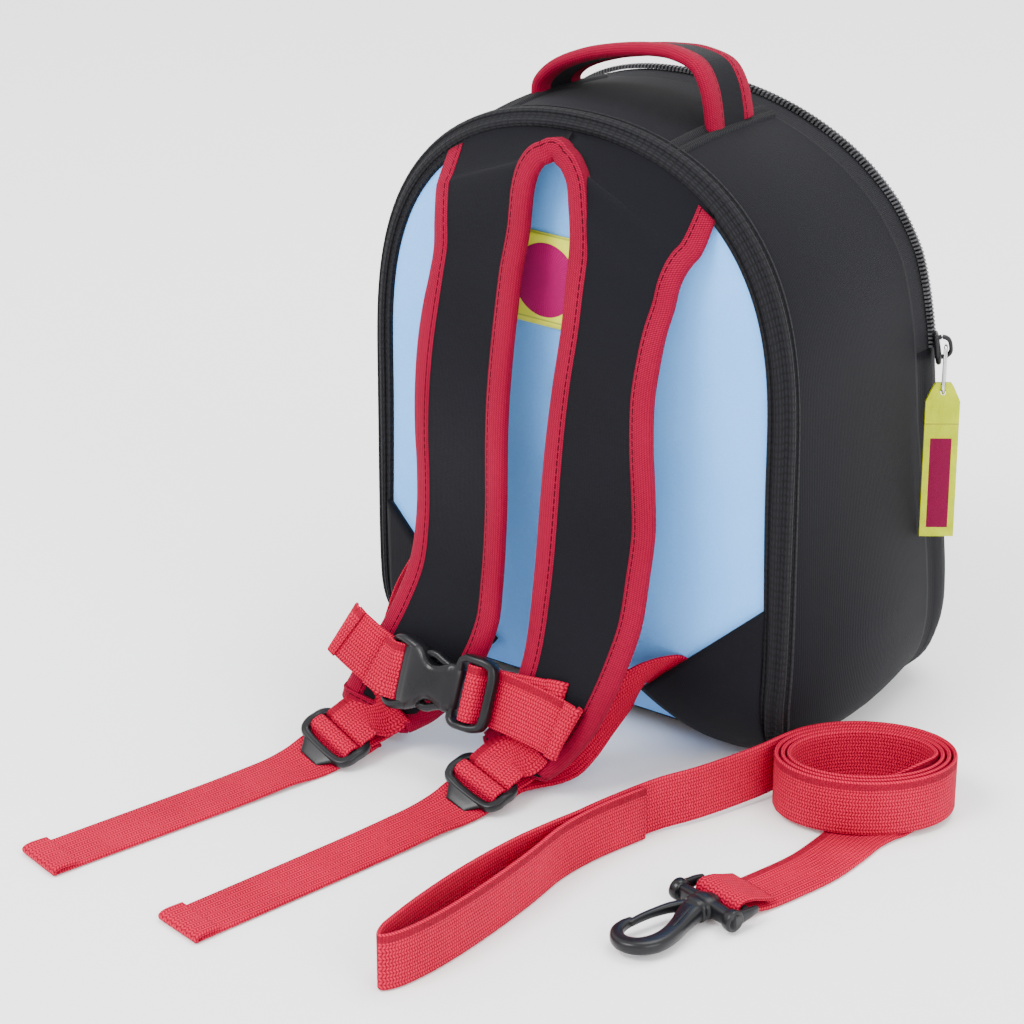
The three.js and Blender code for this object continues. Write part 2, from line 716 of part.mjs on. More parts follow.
const padNormal = (p) => {
  const i = pad.index(p);
  const n = padFront[i].clone().sub(padBack[i]).normalize();
  return n.y > 0 ? n.negate() : n;
};
const edgeFrame = (row, edgeColumn, nextColumn) => {
  const p = row[edgeColumn];
  const n = padNormal(p);
  const a = p.clone().sub(row[nextColumn]);
  return { p, a: a.addScaledVector(n, -a.dot(n)).normalize(), n };
};
const outerFrames = (grid) => grid.slice(1).map((row) => edgeFrame(row, strapColumns, strapColumns - 1));
const archRow = 1;
const archDrop = 0.9;
const innerFrames = (grid) => grid.slice(archRow + 1).map((row) => edgeFrame(row, 0, 1));
const archPlace = rightGrid[archRow][0].clone();
const archFrame = { p: archPlace.clone().setZ(archPlace.z - archDrop), a: v3(0, 0, -1), n: padNormal(archPlace) };
archFrame.a.addScaledVector(archFrame.n, -archFrame.a.dot(archFrame.n)).normalize();
const strapEdges = [
  ['strap_binding_left', outerFrames(leftGrid)],
  ['strap_binding_right', outerFrames(rightGrid)],
  ['strap_binding_inner', [...innerFrames(leftGrid).toReversed(), archFrame, ...innerFrames(rightGrid)]],
];
addMesh('shoulder_straps', shell(padFront, padBack, pad.faces), cloth(black));
for (const [name, frames] of strapEdges) {
  addMesh(name, binding(frames, padThickness, bindingWidth), cloth(darkRed));
}

// A strip bent in one plane: places [along a, along n] in a frame { o, a, n, b }, width along b
function planeStrip(frame, places, width, thickness, count) {
  const stations = places.map(([s, h]) => ({
    p: frame.o.clone().addScaledVector(frame.a, s).addScaledVector(frame.n, h), w: frame.b.clone(),
  }));
  return ribbon(stations, width, thickness, count);
}
const inFrame = (frame, s, h, t = 0) =>
  frame.o.clone().addScaledVector(frame.a, s).addScaledVector(frame.n, h).addScaledVector(frame.b, t);
function frameMatrix(frame) {
  return new THREE.Matrix4().makeBasis(frame.a, frame.b, frame.n).setPosition(frame.o);
}
function makeFrame(o, a, n) {
  const along = a.clone().normalize();
  const face = n.clone().addScaledVector(along, -n.dot(along)).normalize();
  return { o, a: along, n: face, b: v3(0, 0, 0).crossVectors(face, along) };
}

// Solid made from a geometry, for joins and cuts
function solid(geometry) {
  const bare = geometry.clone();
  bare.deleteAttribute('normal');
  bare.deleteAttribute('uv');
  const merged = mergeVertices(bare, 1e-4);
  return new wasm.Manifold(new wasm.Mesh({
    numProp: 3,
    vertProperties: new Float32Array(merged.attributes.position.array),
    triVerts: new Uint32Array(merged.index.array),
  }));
}
function geometryOf(manifold) {
  const mesh = manifold.getMesh();
  const geometry = new THREE.BufferGeometry();
  geometry.setAttribute('position', new THREE.BufferAttribute(new Float32Array(mesh.vertProperties), 3));
  geometry.setIndex(Array.from(mesh.triVerts));
  geometry.computeVertexNormals();
  return geometry;
}
const moved = (geometry, x, y, z) => geometry.clone().translate(x, y, z);
function plate(shape, thickness) {
  const settings = { depth: thickness, bevelEnabled: false, curveSegments: 5 };
  return moved(new THREE.ExtrudeGeometry(shape, settings), 0, 0, -thickness / 2);
}
const outlineShape = (places) => new THREE.Shape(places.map(([x, y]) => new THREE.Vector2(x, y)));

// Strap ends: adjusters, the loops that hold them, and the lower webbing with its free tail
const layHalf = webbingThickness / 2;
const overBar = adjusterThickness / 2 + layGap + layHalf;
const rearBarAt = 8;
const slotRear = rearBarAt + rearBar / 2;
const middleRear = slotRear + rearSlot;
const middleBarAt = middleRear + middleBar / 2;
const slotFront = middleBarAt + middleBar / 2;
const frontBarAt = slotFront + frontSlot + frontBar / 2;
const adjusterEnd = frontBarAt + frontBar / 2;
const overPatch = patchLift + patchThickness + layGap + layHalf + 2.4;

function adjusterGeometry() {
  const half = adjusterWidth / 2;
  const hole = half - adjusterRail;
  const shape = outlineShape([
    [rearBarAt - rearBar / 2, -half + 1.5], [rearBarAt + 1, -half], [adjusterEnd - 2, -half],
    [adjusterEnd, -half + 2], [adjusterEnd, -tabWidth / 2], [adjusterEnd + tabLength, -tabWidth / 2 + 2],
    [adjusterEnd + tabLength, tabWidth / 2 - 2], [adjusterEnd, tabWidth / 2], [adjusterEnd, half - 2],
    [adjusterEnd - 2, half], [rearBarAt + 1, half], [rearBarAt - rearBar / 2, half - 1.5],
  ]);
  const rear = boxSolid(slotRear, slotRear + rearSlot, -hole, hole, -adjusterThickness, adjusterThickness);
  const front = boxSolid(slotFront, slotFront + frontSlot, -hole, hole, -adjusterThickness, adjusterThickness);
  return geometryOf(solid(plate(shape, adjusterThickness)).subtract(rear).subtract(front));
}

// Rows [lower x, lower y, lower z, upper x, upper y, upper z] for each lower strap's two edges,
// across in half widths, out in strap reaches, up in bag heights, from patch to strap end
const lowerWebRight = [
  [0.395, 0.1, 0.125, 0.575, 0.1, 0.198],
  [0.4, 0.26, 0.098, 0.455, 0.27, 0.184],
  [0.375, 0.4, 0.068, 0.34, 0.45, 0.15],
  [0.345, 0.55, 0.036, 0.215, 0.59, 0.1],
  [0.305, 0.7, 0.014, 0.1, 0.7, 0.052],
];
const lowerWebLeft = [
  [0.6, 0.02, 0.19, 0.78, 0.02, 0.255],
  [0.63, 0.3, 0.125, 0.81, 0.28, 0.19],
  [0.62, 0.48, 0.065, 0.8, 0.45, 0.13],
  [0.57, 0.63, 0.024, 0.77, 0.63, 0.075],
  [0.53, 0.75, 0.01, 0.75, 0.76, 0.036],
];
const tailRise = [1.6, 1.25, 0.3, 0.1, 0.05, 0.05];
const headingLeft = 16;
const headingRight = 13;
const adjusterDip = 14;
const endGap = 1.9;

function strapEnd(grid, heading) {
  const row = grid[grid.length - 1];
  const centre = row[0].clone().lerp(row[strapColumns], 0.5);
  const across = row[strapColumns].clone().sub(row[0]).normalize();
  across.z *= 0.6;
  const turn = (heading * Math.PI) / 180;
  const dip = (adjusterDip * Math.PI) / 180;
  const a = v3(-Math.sin(turn) * Math.cos(dip), -Math.cos(turn) * Math.cos(dip), -Math.sin(dip));
  const n = v3(0, 0, 0).crossVectors(a, across).normalize();
  const reach = Math.max(...row.map((p) => p.clone().sub(centre).dot(a)));
  return makeFrame(centre.addScaledVector(a, reach + endGap), a, n.z < 0 ? n.negate() : n);
}

const strapEnds = [
  ['left', leftGrid, lowerWebLeft, headingLeft, tailLengthLeft, -1],
  ['right', rightGrid, lowerWebRight, headingRight, tailLengthRight, 1],
];
for (const [name, grid, rows, heading, tailLength, side] of strapEnds) {
  const frame = strapEnd(grid, heading);
  addMesh(`adjuster_${name}`, adjusterGeometry().applyMatrix4(frameMatrix(frame)), plastic(hardBlack));
  addMesh(`end_loop_${name}`, planeStrip(frame, [
    [1.6, 1.1], [3.6, 1.9], [rearBarAt - 2.4, overBar], [rearBarAt, overBar + 0.1],
    [rearBarAt + rearBar / 2 + 1.5, overBar * 0.64], [rearBarAt + rearBar / 2 + 1.5, -overBar * 0.64],
    [rearBarAt, -overBar - 0.1], [rearBarAt - 2.4, -overBar], [3.6, -1.9], [1.6, -1.1],
  ], webbingWidth, webbingThickness, 22), cloth(red));
  const down = v3(0, 0, 1);
  const flat = frame.b.clone().multiplyScalar(frame.b.x > 0 ? 1 : -1);
  const level = v3(Math.cos((heading * Math.PI) / 180), -Math.sin((heading * Math.PI) / 180), 0);
  const ahead = v3(-level.y, level.x, 0).negate();
  const stations = rows.map(([ax, ay, az, bx, by, bz]) => {
    const [low, high] = [strapPlace(side, ax, ay, az), strapPlace(side, bx, by, bz)];
    for (const p of [low, high]) p.y = Math.min(p.y, backFace(p.x, p.z).y - overPatch);
    const w = low.clone().sub(high).normalize();
    return { p: low.lerp(high, 0.5), w: w.multiplyScalar(side > 0 ? 1 : -1) };
  });
  const through = [
    [rearBarAt - 4, -overBar - 3], [slotRear + 1, -overBar - 2.6], [middleRear - 1.9, -overBar - 0.4],
    [middleRear - 1.3, -1], [middleRear - 1.25, 1.4], [middleRear - 0.1, overBar - 0.1], [middleBarAt, overBar + 0.1],
    [slotFront + 0.1, overBar - 0.1], [slotFront + 1.4, 1.4], [slotFront + 1.8, -1], [slotFront + 3, -overBar - 0.1],
    [frontBarAt, -overBar - 0.3],
  ].map(([s, h]) => ({ p: inFrame(frame, s, h), w: flat.clone() }));
  const start = inFrame(frame, adjusterEnd + tabLength + 2.5, -overBar - 0.9);
  const tail = [0, 0.12, 0.3, 0.55, 0.8, 1].map((share, i) => {
    const p = start.clone().addScaledVector(ahead, share * tailLength);
    p.z = layHalf + tailRise[i];
    return { p, w: level.clone() };
  });
  tail[0].w.lerp(flat, 0.5).normalize();
  const strip = ribbon([...stations, ...through, ...tail], webbingWidth, webbingThickness, 52, false);
  addMesh(`lower_webbing_${name}`, strip, cloth(red));
  const hem = tail[tail.length - 1].p.clone();
  const hemFrame = makeFrame(hem, ahead, down);
  addMesh(`tail_hem_${name}`, planeStrip(hemFrame, [
    [-hemLength, webbingThickness + layGap], [-1, webbingThickness + layGap], [1.9, webbingThickness * 0.5 + 0.2],
    [1.9, 0],
  ], webbingWidth, webbingThickness, 8), cloth(red));
}

// Chest strap frame: along the strap towards +X, and outward from the wearer
const chestCentre = v3(chestAcross, -backSet - chestReach, chestHeight);
const chest = makeFrame(chestCentre, v3(0.99, 0, -0.15), v3(0.05, -0.885, 0.356));
const chestMatrix = frameMatrix(chest);
const barWrap = barDiameter / 2 + layGap + layHalf;

// Rods and boxes for the hardware, as solids
function rodSolid(from, to, diameter, sides = 12) {
  const along = to.clone().sub(from);
  const rod = new THREE.CylinderGeometry(diameter / 2, diameter / 2, along.length(), sides);
  const turn = new THREE.Quaternion().setFromUnitVectors(v3(0, 1, 0), along.clone().normalize());
  rod.applyQuaternion(turn);
  rod.translate(...from.clone().lerp(to, 0.5).toArray());
  return solid(rod);
}
function boxSolid(x0, x1, y0, y1, z0, z1) {
  const box = new THREE.BoxGeometry(x1 - x0, y1 - y0, z1 - z0);
  return solid(moved(box, (x0 + x1) / 2, (y0 + y1) / 2, (z0 + z1) / 2));
}

// Side release buckle: the female half's mouth is at mouthAt, the bars are at femaleBarAt and maleBarAt
const femaleBarAt = -27;
const bodyStart = femaleBarAt + 6;
const mouthAt = 6;
const maleBarAt = 15.5;
const outerBarAt = 24.5;
const buckleHalf = buckleWidth / 2;
const cavityHalf = 13.4;
const cavityHeight = 6.4;

function femaleGeometry() {
  const half = [[bodyStart - 8.5, 1], [bodyStart - 4, 1.02], [bodyStart + 2, 0.96], [bodyStart + 7, 0.92],
    [bodyStart + 10, 0.62], [bodyStart + 17, 0.6], [mouthAt - 6, 0.74], [mouthAt, 0.8]];
  const shape = outlineShape([
    ...half.map(([x, y]) => [x, -y * buckleHalf]), ...half.toReversed().map(([x, y]) => [x, y * buckleHalf])]);
  let body = solid(plate(shape, buckleThickness));
  const slot = boxSolid(bodyStart - 9, bodyStart - 0.4, -cavityHalf, cavityHalf, -buckleThickness, buckleThickness);
  const cavity = boxSolid(bodyStart + 3, mouthAt + 1, -cavityHalf, cavityHalf, -cavityHeight / 2, cavityHeight / 2);
  body = body.subtract(slot).subtract(cavity);
  const rod = rodSolid(v3(femaleBarAt, -cavityHalf - 1, 0), v3(femaleBarAt, cavityHalf + 1, 0), barDiameter);
  return geometryOf(body.add(rod)).applyMatrix4(chestMatrix);
}

function maleGeometry() {
  const start = mouthAt + seamGap;
  const shape = outlineShape([
    [start, -0.78 * buckleHalf], [start + 4, -buckleHalf], [outerBarAt, -buckleHalf],
    [outerBarAt + 2.2, -0.86 * buckleHalf], [outerBarAt + 2.2, 0.86 * buckleHalf], [outerBarAt, buckleHalf],
    [start + 4, buckleHalf], [start, 0.78 * buckleHalf],
  ]);
  const inner = cavityHalf;
  const barHalf = barDiameter / 2;
  let frame = solid(plate(shape, 7));
  for (const [x0, x1] of [[start + 2.4, maleBarAt - barHalf], [maleBarAt + barHalf, outerBarAt - barHalf]]) {
    frame = frame.subtract(boxSolid(x0, x1, -inner, inner, -9, 9));
  }
  const lowBars = boxSolid(maleBarAt - 3, outerBarAt + 4, -inner, inner, barHalf, 9);
  const highBars = boxSolid(maleBarAt - 3, outerBarAt + 4, -inner, inner, -9, -barHalf);
  frame = frame.subtract(lowBars).subtract(highBars);
  const guide = boxSolid(bodyStart + 6, start + 1, -3, 3, -2.4, 2.4);
  frame = frame.add(guide);
  for (const side of [-1, 1]) {
    const prong = outlineShape([
      [start + 1, side * 9], [start + 1, side * 6.5], [bodyStart + 6, side * 7.5], [bodyStart + 6, side * 12.6],
      [bodyStart + 12, side * 12.9], [bodyStart + 15, side * 10.5],
    ]);
    frame = frame.add(solid(plate(prong, 5.2)));
  }
  return geometryOf(frame).applyMatrix4(chestMatrix);
}
addMesh('buckle_female', femaleGeometry(), plastic(hardBlack));
addMesh('buckle_male', maleGeometry(), plastic(hardBlack));

// Chest webbing: a sewn end on the strap, then round the buckle's bar and back
addMesh('chest_webbing_left', planeStrip(chest, [
  [-56, -0.8], [-53, -0.1], [-48, -0.1], [-43, -0.1], [-37, -0.6], [-32, -1.7], [femaleBarAt - 1, -barWrap],
  [femaleBarAt + 1.9, -barWrap + 0.8], [femaleBarAt + 2.9, 0], [femaleBarAt + 1.7, barWrap - 0.5],
  [femaleBarAt - 0.8, barWrap], [femaleBarAt - 4, 2.5], [femaleBarAt - 8, 2.1],
], webbingWidth, webbingThickness, 34), cloth(red));
addMesh('chest_webbing_right', planeStrip(chest, [
  [61, -2.6], [55, -3.2], [45, -3.4], [35, -3.4], [outerBarAt, -barWrap - 0.5], [outerBarAt - 3.1, -1.9],
  [maleBarAt + 3.2, 1], [maleBarAt + 1.9, 2.9], [maleBarAt - 1.9, 2.9], [maleBarAt - 3.2, 1],
  [maleBarAt - 3.2, -1.6], [maleBarAt - 1.6, -4.2], [maleBarAt + 5, -barWrap - 2.6],
  [35, -5.8], [44, -5.8], [51, -5.8],
], webbingWidth, webbingThickness, 44), cloth(red));

// Zip slider, its wire loop, and the cloth tag that hangs beside the bag from a place below the slider
const sliderStep = zipStep;
const chainAt = skinLift(layGap + chainRise + seamGap)[at(chainRing, sliderStep)];
const chainUp = bodyPoints[at(chainRing, sliderStep + 1)].clone().sub(bodyPoints[at(chainRing, sliderStep)]);
const slider = makeFrame(chainAt, chainUp, v3(0.86, 0.5, 0));
const bridgeHeight = bailWire * 2 + 1.4;
function sliderGeometry() {
  const footTop = sliderRise * 0.6;
  const [halfLong, halfWide] = [sliderLength / 2, sliderWidth / 2];
  const foot = boxSolid(-halfLong, halfLong, -halfWide, halfWide, 0, footTop);
  const bridge = boxSolid(-4, 4.5, -bailWire * 0.85, bailWire * 0.85, 0, footTop + bridgeHeight);
  const way = boxSolid(-2.2, 2.6, -sliderWidth, sliderWidth, footTop, footTop + bridgeHeight - 1.6);
  const body = solid(geometryOf(foot.add(bridge).subtract(way)).applyMatrix4(frameMatrix(slider)));
  return geometryOf(body.subtract(wireRoom));
}
const tagTop = chainAt.clone().add(v3(7.9, -7.8, -17.1));
const wireTop = inFrame(slider, 0.2, sliderRise * 0.6 + bailWire * 0.5 + 0.35);
const wireCentre = wireTop.clone().lerp(tagTop, 0.5);
const wireAlong = wireTop.clone().sub(tagTop);
const pullWire = makeFrame(wireCentre, wireAlong, slider.n);
function wireGeometry(diameter) {
  const halfLong = wireAlong.length() / 2;
  const halfWide = wireWidth / 2;
  const places = [];
  for (let i = 0; i < 16; i += 1) {
    const angle = (i / 16) * Math.PI * 2;
    const end = Math.sign(Math.sin(angle) || 1) * (halfLong - halfWide);
    places.push(inFrame(pullWire, end + halfWide * Math.sin(angle), 0, halfWide * Math.cos(angle)));
  }
  const path = new THREE.CatmullRomCurve3(places, true, 'centripetal');
  const count = 20;
  const rings = Array.from({ length: count }, (_, i) => {
    const p = path.getPoint(i / count);
    const along = path.getTangent(i / count).normalize();
    const side = v3(0, 0, 0).crossVectors(along, pullWire.n).normalize();
    return Array.from({ length: 5 }, (__, k) => {
      const turn = (k / 5) * Math.PI * 2;
      return p.clone().addScaledVector(side, (Math.cos(turn) * diameter) / 2)
        .addScaledVector(pullWire.n, (Math.sin(turn) * diameter) / 2);
    });
  });
  return loft(rings, true);
}
const wireRoom = solid(wireGeometry(wireThickness + seamGap * 3));
addMesh('zip_slider', sliderGeometry(), plastic(hardBlack));
addMesh('pull_wire', wireGeometry(wireThickness), steel(0xb8b8bc));

function tagGeometry() {
  const half = tagWidth / 2;
  const shape = outlineShape([
    [-4.2, -3.4], [-2.4, -4.6], [4, -half], [tagLength - 4, -half], [tagLength - 4, half], [4, half],
    [-2.4, 4.6], [-4.2, 3.4],
  ]);
  const frame = makeFrame(tagTop.clone().addScaledVector(pullWire.a, wireThickness * 0.2),
    v3(0.05, -0.08, -1), v3(0.58, -0.81, 0));
  return geometryOf(solid(plate(shape, tagThickness * 2).applyMatrix4(frameMatrix(frame))).subtract(wireRoom));
}
addMesh('pull_tag', tagGeometry(), cloth(yellowGreen));

// Tether: hand loop, run, coil and flat end, as one strip standing on its edge until it lies flat
const edgeHeight = webbingWidth / 2 + 0.05;
const coilHeight = webbingWidth / 2 + coilLift;
const coilCentre = v3(bagHalfWidth + coilSide, coilSet, 0);
const upright = v3(0, 0, 1);
const hookZ = 5.6;
const hookRoot = v3(-4.4, -101.2, hookZ).add(coilCentre);
const hookAlong = v3(-0.26, -0.966, 0);
const hook = makeFrame(hookRoot, hookAlong, upright);
const tetherBarAt = 2;
const layTether = barDiameter / 2 + layGap + tetherThickness / 2;
// Rows [x, y] from the coil's centre: the hand loop from its sewn end, round and back to the coil
const handLoopRows = [
  [-61, -75], [-66.9, -95.5], [-69.6, -109], [-70.8, -123], [-69.7, -143], [-69.4, -167], [-70.4, -192],
  [-72.6, -211], [-76.4, -225], [-80.2, -229.6], [-83.2, -225], [-84.6, -211], [-85, -195], [-84, -169],
  [-80.6, -141], [-76, -121], [-72.6, -109], [-69.4, -95], [-63.6, -74.5], [-59, -64], [-51.5, -50.5],
  [-43, -30], [-38.5, -18],
];
const riseRow = 18;
const tetherStations = handLoopRows.map(([x, y], i) => {
  const risen = Math.max(0, (i - riseRow) / (handLoopRows.length - 1 - riseRow));
  return { p: v3(x, y, edgeHeight + (coilHeight - edgeHeight) * risen).add(coilCentre), w: upright };
});
const coilSteps = 22;
const coilEnd = Math.round(coilTurns * coilSteps);
for (let i = 0; i <= coilEnd; i += 1) {
  const turns = i / coilSteps;
  const angle = (coilJoin * Math.PI) / 180 - Math.PI * 2 * turns;
  const [long, short] = [coilLong - coilPitch * turns, coilShort - coilPitch * turns];
  const place = v3(long * Math.cos(angle), short * Math.sin(angle), 0);
  place.applyAxisAngle(upright, (coilHeading * Math.PI) / 180).add(coilCentre).setZ(coilHeight);
  tetherStations.push({ p: place, w: upright });
}
// Rows [x, y, z from the coil's centre, then the width direction] where the strip lies down
const layDownRows = [
  [24.2, 3, 13.4, -0.3, 0, 0.95],
  [18.6, -4, 8.6, -0.78, 0.13, 0.6],
  [14, -11, 3.6, -0.99, 0.05, 0.08],
  [10.8, -23, 1.1, -1, 0, 0],
  [10.4, -37, 0.95, -1, 0.03, 0],
  [9, -55, 0.95, -0.99, 0.12, 0],
  [4.6, -73, 0.95, -0.97, 0.24, 0],
  [-0.6, -90, 1.2, -0.966, 0.26, 0],
];
for (const [x, y, z, wx, wy, wz] of layDownRows) {
  tetherStations.push({ p: v3(x, y, z).add(coilCentre), w: v3(wx, wy, wz).normalize() });
}
const wrapRows = [
  [-3, -layTether], [tetherBarAt, -layTether], [tetherBarAt + layTether * 0.72, -layTether * 0.7],
  [tetherBarAt + layTether, 0], [tetherBarAt + layTether * 0.72, layTether * 0.7], [tetherBarAt, layTether],
  [-3, layTether * 0.8], [-8, 0.6], [-14, -1.4],
];
for (const [s, h] of wrapRows) {
  tetherStations.push({ p: inFrame(hook, s, h), w: v3(hookAlong.y, -hookAlong.x, 0) });
}
addMesh('tether', ribbon(tetherStations, webbingWidth, tetherThickness, tetherStations.length - 1), cloth(red));

// Snap hook: a base with lugs on the webbing, and a hook that swivels in it
const hookMatrix = frameMatrix(hook);
const baseFront = 14;
const baseBack = 9.6;
const lugSide = hookBarSpan / 2;
function hookBaseGeometry() {
  let base = boxSolid(baseBack, baseFront, -lugSide + 1, lugSide - 1, -4, 4);
  const tail = outlineShape([
    [-1.5, -1.8], [3, -2.4], [12, -lugDiameter / 2], [12, lugDiameter / 2], [3, 3], [-1.5, 1.4],
  ]);
  for (const side of [-1, 1]) {
    const middle = side * (lugSide - 2);
    base = base.add(rodSolid(v3(baseFront - 3, middle - 2, 0), v3(baseFront - 3, middle + 2, 0), lugDiameter, 16));
    const arm = plate(tail, 3.6).rotateX(Math.PI / 2);
    base = base.add(solid(moved(arm, 0, middle, 0)));
  }
  base = base.add(rodSolid(v3(tetherBarAt, -lugSide + 2, 0), v3(tetherBarAt, lugSide - 2, 0), barDiameter));
  base = base.subtract(rodSolid(v3(0, 0, 0), v3(baseFront + 1, 0, 0), neckDiameter + swivelClearance * 2, 24)
    .subtract(boxSolid(-5, baseBack - 2, -9, 9, -9, 9)));
  return geometryOf(base).applyMatrix4(hookMatrix);
}
addMesh('hook_base', hookBaseGeometry(), plastic(hardBlack));

function snapHookGeometry() {
  const collarStart = baseFront + swivelClearance;
  const collarEnd = collarStart + swivelLength - 1;
  const neck = rodSolid(v3(baseBack - 1.9, 0, 0), v3(collarStart + 1, 0, 0), neckDiameter, 24);
  const headEnd = baseBack - swivelClearance;
  const head = rodSolid(v3(headEnd - 1.5, 0, 0), v3(headEnd, 0, 0), neckDiameter + 2.6, 16);
  const collar = rodSolid(v3(collarStart, 0, 0), v3(collarStart + 2.4, 0, 0), swivelDiameter - 0.6, 20);
  const waist = rodSolid(v3(collarStart + 1, 0, 0), v3(collarEnd, 0, 0), swivelDiameter - 3, 16);
  const tipAt = collarEnd + hookLength - 5;
  const nose = tipAt - 17;
  const outline = outlineShape([
    [collarEnd - 1, -5], [collarEnd - 1, 5.2], [collarEnd + 7, 8.6], [collarEnd + 18, 10.4], [tipAt - 9, 10.2],
    [tipAt - 3, 7], [tipAt, 1.5], [tipAt - 0.8, -4], [tipAt - 4.5, -8.6], [tipAt - 10, -11], [nose, -11.4],
    [nose, -7.6], [tipAt - 11, -7], [tipAt - 7, -4.6], [tipAt - 5.4, -0.5], [tipAt - 7.6, 3.6], [tipAt - 13, 5.4],
    [collarEnd + 14, 4.2], [collarEnd + 7, 1], [collarEnd + 4, -2],
    [nose - 0.6, -7.4], [nose - 0.6, -10.4], [collarEnd + 3, -6.6],
  ]);
  const plateBody = solid(plate(outline, hookThickness));
  return geometryOf(neck.add(head).add(collar).add(waist).add(plateBody)).applyMatrix4(hookMatrix);
}
addMesh('snap_hook', snapHookGeometry(), plastic(hardBlack));

export default group;
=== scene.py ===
import math
from functools import partialmethod

import bmesh
import bpy
import numpy as np
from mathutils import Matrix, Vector


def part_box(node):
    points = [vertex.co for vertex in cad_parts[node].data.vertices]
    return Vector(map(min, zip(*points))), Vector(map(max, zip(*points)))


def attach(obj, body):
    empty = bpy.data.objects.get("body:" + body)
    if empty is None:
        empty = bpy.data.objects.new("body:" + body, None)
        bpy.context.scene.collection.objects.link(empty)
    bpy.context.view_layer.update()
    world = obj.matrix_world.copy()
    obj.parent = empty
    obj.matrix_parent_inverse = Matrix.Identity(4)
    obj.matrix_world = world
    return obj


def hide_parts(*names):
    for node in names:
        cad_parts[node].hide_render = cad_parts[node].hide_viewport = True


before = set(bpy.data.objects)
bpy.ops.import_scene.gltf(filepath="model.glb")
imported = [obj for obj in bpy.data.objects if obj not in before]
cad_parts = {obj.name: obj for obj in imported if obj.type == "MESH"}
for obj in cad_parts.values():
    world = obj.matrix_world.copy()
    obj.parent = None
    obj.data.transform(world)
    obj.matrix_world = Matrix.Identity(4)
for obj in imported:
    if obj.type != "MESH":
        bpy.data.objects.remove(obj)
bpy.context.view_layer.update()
MM = 0.001
V = lambda *a: np.array(a, float)
unit = lambda v: v / (np.linalg.norm(v, axis=-1, keepdims=True) + 1e-12)

SIDES = (("left", -1), ("right", 1))

# Camera at the photograph's angle, in millimetres
look_at = V(-37.93, -44.78, 91.34)
azimuth, elevation, distance = math.radians(35.52), math.radians(24.14), 1372.74
back = V(math.sin(azimuth) * math.cos(elevation), -math.cos(azimuth) * math.cos(elevation), math.sin(elevation))
cam_data = bpy.data.cameras.new("camera")
cam_data.lens, cam_data.sensor_width = 108.98, 36
cam_data.clip_start, cam_data.clip_end = 0.05, 20
camera = bpy.data.objects.new("camera", cam_data)
bpy.context.collection.objects.link(camera)
camera.location = Vector((look_at + back * distance) * MM)
camera.rotation_mode = "QUATERNION"
camera.rotation_quaternion = Vector(-back).to_track_quat("-Z", "Y")
bpy.context.scene.camera = camera


